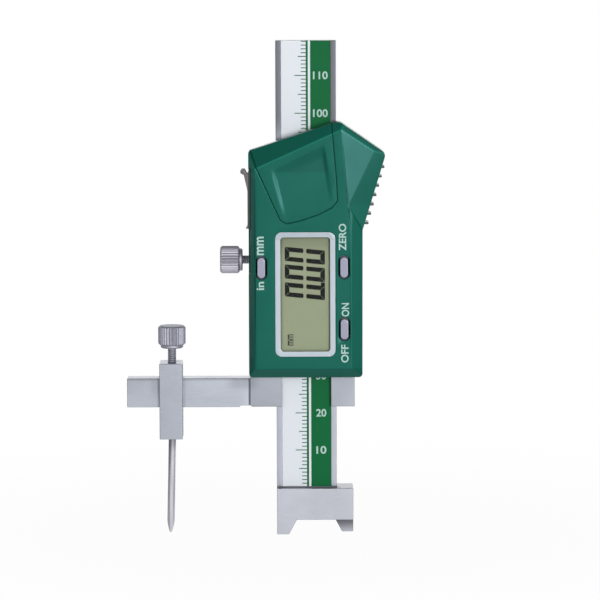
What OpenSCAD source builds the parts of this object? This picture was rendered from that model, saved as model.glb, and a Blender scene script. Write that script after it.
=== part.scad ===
// Small digital height gauge: a steel beam on a stepped foot, and a slider that carries a green
// display housing, a side arm and a scriber needle on an adjustable holder.
// X runs along the arm (needle at -X), -Y faces the user, Z is up.
// The foot stands on z = 0, the needle's tip reads zero there, and x = 0 is the beam's middle.

/* [Beam and foot] */
// Width of the beam
beam_w = 16; // [14:0.5:17]
// Thickness of the beam
beam_t = 3.5; // [3:0.1:4]
// Height of the beam's top above the base
beam_top = 131.6; // [128:0.2:150]
// Width of the scale laid into the beam's front
scale_w = 13; // [10:0.5:13]
// Height of the foot block
foot_h = 12.4; // [11:0.2:14]
// Depth of the foot block, front to back
foot_d = 8.6; // [7.5:0.1:12]
// How far the foot reaches to the right of the beam
foot_right = 12.4; // [11:0.1:16]
// Height of the notch between the two contact pads
notch_h = 3.9; // [2:0.1:5]

/* [Slider and arm] */
// Underside of the slider above the base
slider_z = 34.3; // [32:0.1:36]
// Top of the steel slider
slider_top = 101.5; // [100.5:0.1:102]
// Left side of the slider, from the beam's middle
slider_left = 15; // [14.5:0.1:15.5]
// Right side of the slider, from the beam's middle
slider_right = 12.8; // [12.5:0.1:13]
// Running gap between the slider and the beam
slide_gap = 0.05; // [0.03:0.01:0.08]
// Length of the arm, from the slider's side
arm_l = 32.8; // [30:0.1:40]
// Height of the arm's section
arm_h = 7.75; // [6:0.05:8]
// Depth of the arm's section, front to back
arm_t = 5.5; // [3.5:0.1:6]

/* [Scriber] */
// Distance of the needle from the beam's middle
needle_x = 36.2; // [30:0.1:40]
// Distance of the holder's clamp screw from the beam's middle
clamp_x = 35.85; // [30:0.05:40]
// Diameter of the needle
needle_d = 2; // [1.5:0.1:2.4]
// Diameter of the needle's shank inside the holder
shank_d = 1.6; // [1.2:0.1:1.8]
// Length of the needle's point
point_l = 3.2; // [2:0.1:6]
// Width of the needle holder
holder_w = 6.1; // [5:0.1:7]
// Underside of the holder above the base
holder_z = 25.7; // [25:0.1:27]
// Height of the holder
holder_h = 20.3; // [19:0.1:21]

/* [Thumbscrews] */
// Diameter of a thumbscrew's knurled head
knob_d = 7.3; // [6:0.1:7.6]
// Length of the knurled head
knob_l = 5.15; // [4:0.05:5.4]
// Number of knurls round a head
knurl_count = 30; // [20:1:40]
// Height of the locking screw's axis
lock_z = 73.4; // [72:0.1:74]

/* [Housing] */
// Depth of the housing's front face in front of the beam's middle
face_y = 10.3; // [10:0.1:10.5]
// Wall thickness of the housing
wall = 1.1; // [1:0.05:1.2]
// Distance of the housing's left wall from the beam's middle
housing_left = 15.2; // [15:0.05:15.4]
// Width of the display bezel
bezel_w = 15.85; // [15:0.05:16]
// Height of the display bezel
bezel_h = 33; // [32:0.1:33.2]
// Width of the bezel's border
bezel_border = 1.35; // [1.2:0.05:1.6]
// Width of a button
button_w = 2; // [1.8:0.1:2.4]
// Height of a button
button_h = 5.3; // [5:0.1:6]
// Number of thumb ribs on the right slope
rib_count = 7; // [4:1:8]

/* [Hidden] */

$fn = 48;
overcut = 0.1;

steel = [0.76, 0.78, 0.81];
dark_steel = [0.42, 0.42, 0.44];
green = [0.13, 0.42, 0.36];
dark_plastic = [0.16, 0.2, 0.19];
brass = [0.8, 0.66, 0.36];
silver_print = [0.78, 0.83, 0.87];
button_grey = [0.72, 0.7, 0.77];

half_beam = beam_w / 2;
beam_front = -beam_t / 2;
foot_slot_z = 5.4;
groove_depth = 0.8;
board_t = 0.6;
label_t = 0.18;

frame_front = -3.3;
frame_back = 3.3;
gib_t = 0.97;
slot_left = half_beam + 1;
lip_opening = 13;
board_y = -2;
slider_board_t = 1;
board_left = 13;
board_right = 12;
board_z = [45.5, 99.8];
back_plate_t = 1;
back_plate_y = frame_front - back_plate_t;

inner_face_y = -face_y + wall;
display_x = -0.26;
display_z = 65.13;
window_w = bezel_w - 2 * bezel_border - 0.05;
window_h = bezel_h - 2 * bezel_border;
glass_w = 14.6;
glass_h = 32;
glass_t = 1.4;
holder_wall = 0.6;
mode_at = [-11.84, 72.2];
zero_at = [9.98, 72.3];
power_at = [10.06, 55.9];
button_gap = 0.5;

arm_end = -slider_left - arm_l;
arm_z = slider_z - 0.15;
arm_gap = 0.05;
holder_x = -36.1 - holder_w / 2;
collar_l = 0.8;
collar_d = 6;
neck_d = 2.3;

// The housing's outline, seen from the front, clockwise from the upper left corner
outline = [
    [-housing_left, 102.9], [8.8, 110.75], [21.1, 102.12], [14.9, 82], [14.8, 42.8],
    [-housing_left, 42.8]
];
outline_r = [1.1, 1.8, 1.6, 2, 1, 1];

// Ridge points where the front face breaks into its facets: [x, depth below the face, z]
ridge_left = [-13.6, 0, 98.2];
ridge_peak = [9.3, 0, 108.6];
facet_corner = [18.05, 1.65, 102.75];
facet_foot = [11.1, 0, 88.6];
waist = [14.9, 1.4, 82];
shoulder_drop = 2.5;
upper_drop = 2.7;
side_drop = 2;

battery_at = [-1.2, 93.6];
battery_d = 20;
battery_t = 3.2;
battery_front = -7.9;
ring_front = -6.4;

// The battery cover's outline, seen from the front, clockwise: it widens upward, so it slides
// off that way
cover_outline = [
    [6.6, 112], [7, 107.4], [8.05, 95.2], [8.3, 89.9], [6.9, 88.1], [3.2, 86.2],
    [-1.6, 84.6], [-5.2, 83.8], [-6.9, 84.9], [-12.95, 98.2], [-16.2, 107]
];
cover_gap = 0.08;
cover_split_y = -5.4;

port_z = [82.4, 97.9];
port_y = [-8.7, -4.9];
port_depth = 0.5;
port_travel = 12;
rib_pitch = 2.58;
// Point that the row of thumb ribs leads up to
rib_line_top = [20.7, 102.4];

screw_r = 0.7;
housing_screw_at = [[-12, 47.2], [10.4, 47.2], [10.6, 98.3], [-12, 81]];
board_screw_at = [[-11.6, 57], [10.4, 79.5]];

// Outline helpers
function unit(v) = v / norm(v);
function at(list, i) = list[(i + len(list)) % len(list)];
function inward(a, b) = let(e = unit(b - a)) [e.y, -e.x];

// Clockwise outline moved inward by d
function inset(pts, d) = [
    for (i = [0:len(pts) - 1])
        let(n1 = inward(at(pts, i - 1), pts[i]), n2 = inward(pts[i], at(pts, i + 1)))
        pts[i] + (n1 + n2) * d / (1 + n1 * n2)
];

// Outline with each corner replaced by an arc of its own radius
function rounded(pts, radii, steps = 6) = [
    for (i = [0:len(pts) - 1])
        let(
            u = unit(at(pts, i - 1) - pts[i]),
            v = unit(at(pts, i + 1) - pts[i]),
            half = acos(u * v) / 2,
            middle = pts[i] + unit(u + v) * radii[i] / sin(half),
            from = pts[i] + u * radii[i] / tan(half) - middle,
            to = pts[i] + v * radii[i] / tan(half) - middle,
            start = atan2(from.y, from.x),
            sweep = atan2(from.x * to.y - from.y * to.x, from * to)
        )
        for (k = [0:steps])
            let(angle = start + sweep * k / steps)
            middle + radii[i] * [cos(angle), sin(angle)]
];

// Point on the housing's front, given its depth below the flat face
function on_face(p) = [p.x, -face_y + p.y, p.z];

// Flat shape in the XZ plane, extruded between two depths
module slab(front, back) {
    translate([0, back, 0]) rotate([90, 0, 0]) linear_extrude(back - front) children();
}

module block(from, to) {
    translate(from) cube(to - from);
}

module rod_y(r, front, back) {
    translate([0, front, 0]) rotate([-90, 0, 0]) cylinder(r = r, h = back - front);
}

// Everything on the user's side of the plane through three points, the plane moved inward by depth
module in_front_of(a, b, c, depth = 0) {
    n = unit(cross(b - a, c - a));
    out = n.y < 0 ? n : -n;
    translate(a - out * depth)
        rotate([0, acos(out.z), atan2(out.y, out.x)])
            translate([-60, -60, 0]) cube([120, 120, 20]);
}

module pill(w, h, front, back) {
    for (side = [-1, 1])
        translate([0, 0, side * (h - w) / 2]) rod_y(w / 2, front, back);
    block([-w / 2, front, -(h - w) / 2], [w / 2, back, (h - w) / 2]);
}

module at_xz(p) {
    translate([p.x, 0, p.y]) children();
}

// Rectangle with rounded corners, standing in the XZ plane
module panel(w, h, r, front, back) {
    c = [[-w / 2, h / 2], [w / 2, h / 2], [w / 2, -h / 2], [-w / 2, -h / 2]];
    slab(front, back) polygon(rounded(c, [r, r, r, r]));
}

// Slotted countersunk screw, head at z = 0, pointing down
module small_screw(r, l, head_r, head_h) {
    difference() {
        union() {
            translate([0, 0, -l]) cylinder(r = r, h = l);
            translate([0, 0, -head_h]) cylinder(r = head_r, h = head_h);
        }
        block([-head_r - overcut, -0.2, -head_h / 2], [head_r + overcut, 0.2, overcut]);
    }
}

// Thumbscrew along Z: neck tip at z = 0, collar above the neck, knurled head on top
module thumbscrew(neck_l) {
    tip_r = knob_d / 2;
    root_r = tip_r - 0.22;
    core_r = root_r - 0.1;
    chamfer = 0.45;
    cylinder(d = neck_d, h = neck_l);
    translate([0, 0, neck_l]) cylinder(d = collar_d, h = collar_l);
    translate([0, 0, neck_l + collar_l]) {
        rotate_extrude()
            polygon([[0, -overcut], [2.8, -overcut], [2.8, 0], [core_r, chamfer],
                [core_r, knob_l - chamfer], [core_r - 0.3, knob_l], [0, knob_l]]);
        translate([0, 0, chamfer])
            linear_extrude(knob_l - 2 * chamfer)
                polygon([
                    for (i = [0:2 * knurl_count - 1])
                        let(a = i * 180 / knurl_count, r = i % 2 == 0 ? tip_r : root_r)
                        r * [cos(a), sin(a)]
                ]);
    }
}

// Beam group
module beam() {
    color(steel)
    difference() {
        block([-half_beam, beam_front, foot_slot_z], [half_beam, beam_t / 2, beam_top]);
        block([-scale_w / 2, beam_front - overcut, foot_h + 0.2],
            [scale_w / 2, beam_front + groove_depth, beam_top + overcut]);
        for (x = [-4, 4])
            translate([x, 0, 9]) rod_y(0.9, 0, beam_t / 2 + overcut);
        for (x = [-5, 5])
            translate([x, 0, 126]) rod_y(0.7, 0, beam_t / 2 + overcut);
    }
}

module scale_strip(front, back) {
    block([-scale_w / 2, front, foot_h + 0.2], [scale_w / 2, back, beam_top]);
}

module scale_circuit_board() {
    color(brass) scale_strip(beam_front + groove_depth - board_t, beam_front + groove_depth);
}

module scale_label() {
    board_front = beam_front + groove_depth - board_t;
    color(green) scale_strip(board_front - label_t, board_front);
}

// The foot is a block with a slot for the beam's end, a relief along the slot's front edge and
// two small contact pads underneath. The left pad is full depth, the right one only half depth.
module foot_block() {
    half_d = foot_d / 2;
    pad_l = -half_beam + 3.2;
    pad_r = foot_right - 3;
    slope = 2.1;
    color(steel)
    difference() {
        block([-half_beam, -half_d, 0], [foot_right, half_d, foot_h]);
        block([-half_beam - overcut, beam_front, foot_slot_z],
            [half_beam, beam_t / 2, foot_h + overcut]);
        block([-half_beam - overcut, beam_front - 1.5, foot_h - 1.5],
            [half_beam, beam_front, foot_h + overcut]);
        slab(-half_d - overcut, half_d + overcut)
            polygon([[pad_l, -overcut], [pad_l, 0], [pad_l + slope, notch_h],
                [pad_r - slope, notch_h], [pad_r, 0], [pad_r, -overcut]]);
        block([pad_r - slope, -half_d - overcut, -overcut], [foot_right + overcut, 0, notch_h]);
        for (x = [-4, 4])
            translate([x, 0, 9]) {
                rod_y(0.9, 0, half_d + overcut);
                rod_y(1.7, half_d - 1.2, half_d + overcut);
            }
    }
}

module foot_screws() {
    color(dark_steel)
    for (x = [-4, 4])
        translate([x, foot_d / 2 - 0.1, 9]) rotate([-90, 0, 0]) small_screw(0.9, 4.1, 1.6, 1.1);
}

module end_stop_plate() {
    color(steel)
    difference() {
        block([-7, beam_t / 2, 123], [7, beam_t / 2 + 1, 129]);
        for (x = [-5, 5])
            translate([x, 0, 126]) rod_y(0.7, beam_t / 2 - overcut, beam_t / 2 + 1 + overcut);
    }
}

module end_stop_screws() {
    color(dark_steel)
    for (x = [-5, 5])
        translate([x, beam_t / 2 + 1.6, 126]) rotate([-90, 0, 0]) small_screw(0.7, 3.2, 1.3, 0.6);
}

// Slider group
// A milled channel that wraps the beam, with the arm in one piece with it. Two front lips run
// over the beam's edges, and a pocket in the front takes the circuit board.
module slider_frame() {
    color(steel)
    difference() {
        union() {
            slab(frame_front, frame_back)
                polygon([[-slider_left, slider_top], [slider_right, slider_top],
                    [slider_right, slider_z], [-slider_left + 0.45, slider_z],
                    [-slider_left, slider_z + 0.45]]);
            slab(-arm_t / 2, arm_t / 2)
                polygon([[arm_end, arm_z], [arm_end, arm_z + arm_h],
                    [-slider_left + 1, arm_z + arm_h], [-slider_left + 1, arm_z + 0.6],
                    [-slider_left, arm_z + 0.4], [-slider_left - 2.6, arm_z + 0.4],
                    [-slider_left - 2.8, arm_z]]);
        }
        block([-slot_left, beam_front - slide_gap, slider_z - overcut],
            [half_beam + slide_gap, beam_t / 2 + slide_gap, slider_top + overcut]);
        block([-lip_opening / 2, frame_front - overcut, slider_z - overcut],
            [lip_opening / 2, 0, slider_top + overcut]);
        block([-board_left, frame_front - overcut, board_z[0]],
            [board_right, board_y, board_z[1]]);
        block([-slot_left, frame_front - overcut, board_z[0]],
            [half_beam + slide_gap, 0, board_z[1]]);
        // relief groove down the front of the arm, where it meets the channel
        block([-slider_left - 0.35, -arm_t, slider_z - 1], [-slider_left, -arm_t / 2 + 0.7, arm_z + arm_h + 1]);
        for (z = [52, 92])
            translate([-slider_left - overcut, 0, z]) rotate([0, 90, 0])
                cylinder(r = 1, h = slider_left - slot_left + 2 * overcut);
        translate([-slider_left - overcut, 0, lock_z]) rotate([0, 90, 0])
            cylinder(d = neck_d + 0.08, h = slider_left - slot_left + 2 * overcut);
        for (p = housing_screw_at)
            at_xz(p) {
                rod_y(screw_r + 0.15, frame_front - overcut, frame_back + overcut);
                rod_y(1.6, frame_back - 1.2, frame_back + overcut);
            }
        for (p = board_screw_at)
            at_xz(p) rod_y(0.5, board_y - overcut, 0.5);
    }
}

module gib_strip() {
    color(brass)
    block([-slot_left, -1.6, 38], [-slot_left + gib_t, 1.6, slider_top - 3]);
}

module gib_adjusting_screws() {
    color(dark_steel)
    for (z = [52, 92])
        translate([-slider_left + 0.3, 0, z]) rotate([0, -90, 0])
            difference() {
                translate([0, 0, -slider_left + slot_left + 0.3])
                    cylinder(r = 1, h = slider_left - slot_left - 0.3);
                block([-1.1, -0.2, -0.6], [1.1, 0.2, overcut]);
            }
}

module circuit_board() {
    color([0.1, 0.3, 0.18])
    difference() {
        block([-board_left, board_y - slider_board_t, board_z[0]],
            [board_right, board_y, board_z[1]]);
        for (p = housing_screw_at)
            at_xz(p) rod_y(0.95, board_y - slider_board_t - overcut, board_y + overcut);
        for (p = board_screw_at)
            at_xz(p) rod_y(0.5, board_y - slider_board_t - overcut, board_y + overcut);
    }
}

module circuit_board_screws() {
    color(dark_steel)
    for (p = board_screw_at)
        translate([p.x, board_y - slider_board_t - 0.5, p.y]) rotate([90, 0, 0])
            small_screw(0.5, 3.5, 0.95, 0.5);
}

module controller_chip() {
    front = board_y - slider_board_t;
    color([0.1, 0.1, 0.1])
    union() {
        block([-3.5, front - 1.3, 60], [3.5, front - 0.2, 67]);
        for (side = [-1, 1], i = [0:7])
            block([side * 3.5 - 0.6, front - 0.7, 60.5 + i * 0.8],
                [side * 3.5 + 0.6, front, 60.8 + i * 0.8]);
    }
}

module switch_block() {
    front = board_y - slider_board_t;
    block([-1, front - 3.6, -2.3], [1, front, 2.3]);
    rod_y(0.8, front - 4, front - 3.5);
}

module switch_blocks() {
    color([0.2, 0.2, 0.2])
    for (p = [mode_at, zero_at, power_at]) at_xz(p) switch_block();
}

module at_display() {
    translate([display_x, 0, display_z]) children();
}

module display_holder() {
    outer_w = glass_w + 2 * holder_wall;
    outer_h = glass_h + 2 * holder_wall;
    color([0.85, 0.85, 0.82])
    at_display() difference() {
        panel(outer_w, outer_h, 0.8, inner_face_y, board_y - slider_board_t);
        panel(glass_w, glass_h, 0.3, inner_face_y - overcut, board_y + overcut);
    }
}

module display_contact_strips() {
    strip_w = 1.6;
    color([0.75, 0.55, 0.6])
    at_display()
    for (side = [-1, 1])
        translate([side * (glass_w - strip_w) / 2, 0, 0])
            block([-strip_w / 2, inner_face_y + glass_t, -15],
                [strip_w / 2, board_y - slider_board_t, 15]);
}

module display_glass() {
    color([0.57, 0.61, 0.5])
    at_display() panel(glass_w, glass_h, 0.3, inner_face_y, inner_face_y + glass_t);
}

module display_window() {
    color([0.85, 0.9, 0.9, 0.4])
    at_display() panel(window_w, window_h, 0.8, -face_y + 0.35, inner_face_y);
}

module display_bezel() {
    color(silver_print)
    at_display() difference() {
        panel(bezel_w, bezel_h, 1.7, -face_y - 0.15, -face_y + 0.35);
        panel(window_w, window_h, 0.8, -face_y - 1, 0);
    }
}

// Region of the front above or below the crease that runs from the facet's foot to the waist
module crease_side(upper) {
    slab(-face_y - 5, frame_back)
        polygon(concat(
            [[facet_foot.x - 4, facet_foot.z + 7.2], [waist.x + 8, waist.z - 14.4]],
            upper ? [[40, 120]] : [[40, 30], [-10, 30]]
        ));
}

// The housing's outer form, or the same form moved inward by d: the outline extruded, then cut
// back by one plane for every facet
module housing_form(d) {
    radii = [for (r = outline_r) max(r - d, 0.2)];
    difference() {
        slab(-face_y + d, frame_front) polygon(rounded(inset(outline, d), radii));
        // left side bevel
        in_front_of([-13.6, -face_y, 75], [-13.6, -face_y, 90],
            [-housing_left, -face_y + side_drop, 75], d);
        // lower edge bevel
        in_front_of([0, -face_y, 45.3], [9, -face_y, 45.3],
            [0, -face_y + side_drop, outline[5].y], d);
        // broad bevel up the left slope
        in_front_of(on_face(ridge_left), on_face(ridge_peak),
            on_face([outline[0].x, upper_drop, outline[0].y]), d);
        // bevel down the right slope
        in_front_of(on_face(ridge_peak), on_face(facet_corner),
            on_face([outline[2].x, shoulder_drop, outline[2].y]), d);
        // pale three-cornered facet
        in_front_of(on_face(ridge_peak), on_face(facet_corner), on_face(facet_foot), d);
        // band along the flared right side, above the waist
        intersection() {
            in_front_of(on_face(facet_foot), on_face(waist),
                on_face([outline[2].x, shoulder_drop, outline[2].y]), d);
            crease_side(true);
        }
        // band along the straight right side, below the waist
        intersection() {
            in_front_of([11.9, -face_y, 65], [11.9, -face_y, 50], on_face(waist), d);
            crease_side(false);
        }
    }
}

module cover_column(gap, back) {
    slab(-face_y - 2, back) polygon(inset(cover_outline, gap));
}

// Channel down the left wall for the sliding port cover, wider inside than outside
module port_channel(gap, z_low, z_high) {
    translate([0, 0, z_low]) linear_extrude(z_high - z_low)
        polygon([
            [-housing_left - overcut * (gap > 0 ? 0 : 1), port_y[0] + gap],
            [-housing_left - overcut * (gap > 0 ? 0 : 1), port_y[1] - gap],
            [-housing_left + port_depth - gap, port_y[1] + 0.3 - gap],
            [-housing_left + port_depth - gap, port_y[0] - 0.3 + gap]
        ]);
}

// Moulded front shell: walls that follow the outer facets, a bezel seat, three button holes,
// screw bosses, the battery opening and the channel of the port cover
module housing_shell() {
    color(green)
    difference() {
        union() {
            difference() {
                housing_form(0);
                housing_form(wall);
                slab(back_plate_y, frame_front + overcut)
                    polygon(rounded(inset(outline, wall), [for (r = outline_r) max(r - wall, 0.2)]));
            }
            for (p = housing_screw_at)
                at_xz(p) rod_y(1.7, -face_y + 0.9, back_plate_y);
        }
        cover_column(0, cover_split_y);
        at_display() {
            panel(bezel_w, bezel_h, 1.7, -face_y - overcut, -face_y + 0.35);
            panel(window_w, window_h, 0.8, -face_y - overcut, 0);
        }
        for (p = [mode_at, zero_at, power_at])
            at_xz(p) pill(button_w + 2 * button_gap, button_h + 2 * button_gap,
                -face_y - overcut, inner_face_y + overcut);
        port_channel(0, port_z[0] - port_travel, port_z[1] + 0.1);
        block([-housing_left, -7.7, 84.5], [-housing_left + wall + overcut, -5.7, 94.5]);
        for (p = housing_screw_at)
            at_xz(p) rod_y(screw_r, -8.8, frame_front);
    }
}

// Dark rear half of the housing: a plate that closes the shell, the ring that holds the coin
// cell, and the ribbed thumb grip behind the flared shoulder
module housing_back() {
    fit = inset(outline, wall);
    grip = inset(outline, 0.3);
    slope = unit(rib_line_top - outline[3]);
    color(dark_plastic)
    difference() {
        union() {
            slab(back_plate_y, frame_front)
                polygon(rounded(fit, [for (r = outline_r) max(r - wall, 0.2)]));
            at_xz(battery_at) rod_y(battery_d / 2 + 0.9, ring_front, back_plate_y + overcut);
            intersection() {
                slab(frame_front, frame_back - 0.3)
                    polygon(rounded(grip, [for (r = outline_r) max(r - 0.3, 0.2)]));
                block([slider_right, -10, 82.4], [30, 10, 112]);
            }
            for (i = [0:rib_count - 1])
                translate([outline[3].x, 0, outline[3].y])
                    translate([slope.x, 0, slope.y] * (1.3 + i * rib_pitch)) {
                        block([-0.6, frame_front + 0.3, -0.28], [1.05, frame_back - 0.6, 0.28]);
                        translate([1.05, 0, 0]) rod_y(0.28, frame_front + 0.3, frame_back - 0.6);
                    }
        }
        at_xz(battery_at) {
            rod_y(battery_d / 2 + 0.1, ring_front - overcut, back_plate_y);
            side_contact(overcut);
        }
        block([-13.1, -10, 46.4], [11.9, 10, 82.6]);
        for (p = housing_screw_at)
            at_xz(p) rod_y(0.95, back_plate_y - overcut, frame_front + overcut);
    }
}

module housing_screws() {
    color(dark_steel)
    for (p = housing_screw_at)
        translate([p.x, frame_back - 0.2, p.y]) rotate([-90, 0, 0])
            small_screw(screw_r, frame_back + 8.2, 1.5, 1);
}

module battery_cell() {
    color([0.8, 0.8, 0.8])
    at_xz(battery_at) {
        rod_y(battery_d / 2, battery_front + 0.4, battery_front + battery_t);
        rod_y(battery_d / 2 - 1.2, battery_front, battery_front + 0.4);
    }
}

// Contact that stands in a notch of the ring and meets the cell's rim
module side_contact(above = 0) {
    block([-1.2, ring_front - above, -battery_d / 2 - 1], [1.2, back_plate_y, -battery_d / 2]);
}

// Spring leaf under the cell, and the side contact
module battery_contacts() {
    color(brass)
    at_xz(battery_at) {
        block([-1.5, battery_front + battery_t, -7], [1.5, back_plate_y, 7]);
        side_contact();
    }
}

module data_port_contacts() {
    x0 = -housing_left + wall;
    color(dark_plastic)
    block([x0, -7.9, 84.2], [x0 + 1.3, back_plate_y, 94.8]);
    color(brass)
    for (i = [0:3])
        block([x0 - 0.25, -7.4, 85.4 + i * 2.3], [x0 + 0.1, -6, 86.7 + i * 2.3]);
}

// Moving pieces on the slider
module lock_screw() {
    color(steel)
    translate([-slot_left - 0.03, 0, lock_z]) rotate([0, -90, 0])
        thumbscrew(slider_left - slot_left - 0.03 + 1.9);
}

module button(p) {
    color(button_grey)
    at_xz(p) {
        pill(button_w, button_h, -face_y - 0.35, inner_face_y + 0.1);
        block([-1, inner_face_y, -3.6], [1, inner_face_y + 0.6, 3.6]);
        rod_y(0.7, inner_face_y + 0.5, -7.5);
    }
}

module mode_button() button(mode_at);
module zero_button() button(zero_at);
module power_button() button(power_at);

// Thin cover that lies flat on the wall, leans away from it over its upper third and ends in a
// thick bead for the fingernail. It has a small lip at its lower end.
module port_cover() {
    gap = 0.05;
    face_x = -housing_left;
    low = port_z[0];
    bead_r = 0.72;
    bead = [face_x - 1.36, port_z[1] - 0.42];
    color(dark_steel) {
        port_channel(gap, low, port_z[1]);
        slab(port_y[0] + gap, port_y[1] - gap) {
            polygon([
                [face_x + 0.1, low], [face_x - 0.5, low], [face_x - 0.6, low + 0.15],
                [face_x - 0.5, low + 0.4], [face_x - 0.17, low + 0.9], [face_x - 0.17, low + 9.6],
                [face_x - 0.34, low + 10.6], [bead.x + 0.12, bead.y - 0.6], bead,
                [bead.x + 0.55, bead.y], [face_x + 0.1, port_z[1] - 1.1]
            ]);
            translate(bead) circle(r = bead_r);
        }
    }
}

// Battery cover: part of the faceted front with the broad bevel, a thumb scoop that deepens
// upward and runs out gently at its top, and a tongue below the shell's wall along its lower edge
module battery_cover() {
    scoop_low_l = [-5.9, 0, 85.6];
    scoop_low_r = [7, 0, 90];
    scoop_high_l = [-9.5, 0, 96.5];
    scoop_high_r = [4.4, 0, 103.2];
    deep_l = [-7.6, 0.476, 96];
    deep_r = [3.6, 0.575, 102.1];
    turn_l = [-7.6, 0.363, 93.4];
    color(green)
    difference() {
        union() {
            intersection() {
                difference() {
                    housing_form(0);
                    housing_form(wall);
                }
                cover_column(cover_gap, cover_split_y);
            }
            slab(inner_face_y - overcut, inner_face_y + 0.7)
                polygon([[-10.4, 96], [-6.2, 86.4], [6.6, 90.4], [5, 103.2]]);
            slab(inner_face_y, inner_face_y + 0.7)
                polygon([[-6.2, 87.5], [-5.4, 82.7], [6.4, 87], [6, 92]]);
        }
        intersection() {
            in_front_of(on_face(scoop_low_l), on_face(scoop_low_r), on_face(deep_l));
            in_front_of(on_face(scoop_low_l), on_face(scoop_high_l), on_face(deep_l));
            in_front_of(on_face(scoop_low_r), on_face(scoop_high_r), on_face(deep_r));
            in_front_of(on_face(scoop_high_l), on_face(scoop_high_r), on_face(turn_l));
        }
    }
}

// Scriber group
module needle_holder() {
    top = holder_z + holder_h;
    half_d = foot_d / 2;
    color(steel)
    difference() {
        block([holder_x, -half_d, holder_z], [holder_x + holder_w, half_d, top]);
        block([holder_x - overcut, -arm_t / 2 - arm_gap, arm_z - arm_gap],
            [holder_x + holder_w + overcut, arm_t / 2 + arm_gap, arm_z + arm_h + arm_gap]);
        translate([-clamp_x, 0, arm_z + arm_h]) cylinder(d = neck_d + 0.08, h = top);
        translate([-needle_x, 0, holder_z - overcut]) cylinder(d = shank_d, h = 7 + overcut);
    }
}

// Needle: a thinner shank pressed into the holder, a straight body and a rounded point that just
// reaches the base plane
module scriber_needle() {
    r = needle_d / 2;
    // radius of the point, as a share of the needle's, against height as a share of its length
    point = [[0.32, 0], [0.46, 0.04], [0.56, 0.13], [0.68, 0.3], [0.82, 0.56], [0.93, 0.8]];
    color(steel)
    translate([-needle_x, 0, 0])
        rotate_extrude()
            polygon(concat(
                [[0, holder_z + 7], [shank_d / 2, holder_z + 7], [shank_d / 2, holder_z],
                    [r, holder_z], [r, point_l]],
                [for (i = [len(point) - 1:-1:0]) [point[i].x * r, point[i].y * point_l]],
                [[0, 0]]
            ));
}

module holder_screw() {
    color(steel)
    translate([-clamp_x, 0, arm_z + arm_h + 0.03]) thumbscrew(7.9);
}

beam();
scale_circuit_board();
scale_label();
foot_block();
foot_screws();
end_stop_plate();
end_stop_screws();
slider_frame();
gib_strip();
gib_adjusting_screws();
circuit_board();
circuit_board_screws();
controller_chip();
switch_blocks();
display_holder();
display_contact_strips();
display_glass();
display_window();
display_bezel();
housing_shell();
housing_back();
housing_screws();
battery_cell();
battery_contacts();
data_port_contacts();
lock_screw();
needle_holder();
scriber_needle();
holder_screw();
mode_button();
zero_button();
power_button();
port_cover();
battery_cover();
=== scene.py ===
"""Looks of a small digital height gauge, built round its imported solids: ground steel, moulded
plastic, printed scale, display, lettering, knurled heads and rounded edges.

X runs along the arm, -Y faces the user and Z is up. Sizes are in millimetres unless they say
otherwise, and every mesh holds its own place, so every object stays at the origin.
"""

import logging
import math
from dataclasses import dataclass
from enum import Enum
from typing import Sequence

import bmesh
import bpy
from mathutils import Matrix, Vector
from mathutils.bvhtree import BVHTree


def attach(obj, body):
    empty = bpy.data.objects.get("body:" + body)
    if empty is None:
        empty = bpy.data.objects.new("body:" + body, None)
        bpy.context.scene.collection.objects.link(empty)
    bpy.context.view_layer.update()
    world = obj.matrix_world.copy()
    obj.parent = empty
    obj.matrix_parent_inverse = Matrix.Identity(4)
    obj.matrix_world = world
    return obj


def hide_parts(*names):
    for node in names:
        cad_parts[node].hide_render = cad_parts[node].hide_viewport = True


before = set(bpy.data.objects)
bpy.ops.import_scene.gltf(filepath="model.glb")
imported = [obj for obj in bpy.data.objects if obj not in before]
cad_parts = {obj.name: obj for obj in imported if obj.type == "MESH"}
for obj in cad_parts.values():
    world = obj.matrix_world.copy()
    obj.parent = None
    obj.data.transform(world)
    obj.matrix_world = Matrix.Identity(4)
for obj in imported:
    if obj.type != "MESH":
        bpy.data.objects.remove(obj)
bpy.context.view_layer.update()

log = logging.getLogger("height_gauge")

MM = 0.001
# Corners that lie closer together than this are one corner.
WELD = 0.002 * MM
# Share of its colour that a surface keeps where a painted shade is at its full depth.
SHADED = 0.25
Colour = tuple[float, float, float]
Point = tuple[float, float, float]


def linear(red: int, green: int, blue: int) -> Colour:
    """Linear colour of a screen colour given in 0 to 255."""
    return tuple(((c / 255 + 0.055) / 1.055) ** 2.4 if c > 10 else c / 255 / 12.92
                 for c in (red, green, blue))


def toned(colour: Colour, factor: float) -> tuple[float, float, float, float]:
    """The colour made lighter or darker by a factor, with an alpha of 1."""
    return tuple(min(1.0, c * factor) for c in colour) + (1.0,)


class Grain(Enum):
    """Direction of the fine lines that grinding or turning leaves, as a stretch per axis."""

    ALONG_X = (0.03, 1.0, 1.0)
    ALONG_Z = (1.0, 1.0, 0.03)
    ROUND_X = (1.0, 0.12, 0.12)
    ROUND_Z = (0.12, 0.12, 1.0)


class Reading(Enum):
    """Way that lettering reads on the front, as the columns of its turn."""

    UPRIGHT = ((1, 0, 0), (0, 0, 1), (0, -1, 0))
    UPWARD = ((0, 0, 1), (-1, 0, 0), (0, -1, 0))

    def matrix(self) -> Matrix:
        """Turn from flat lettering in XY to the front."""
        return Matrix(self.value).transposed().to_4x4()


class Facing(Enum):
    """Way that a screw's head faces, as its turns about X, Y and Z in degrees."""

    BACK = (-90, 0, 0)
    FRONT = (90, 0, 0)
    LEFT = (0, -90, 0)
    UP = (0, 0, 0)

    def turns(self) -> tuple[float, float, float]:
        """The turns in radians."""
        return tuple(math.radians(turn) for turn in self.value)


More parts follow.
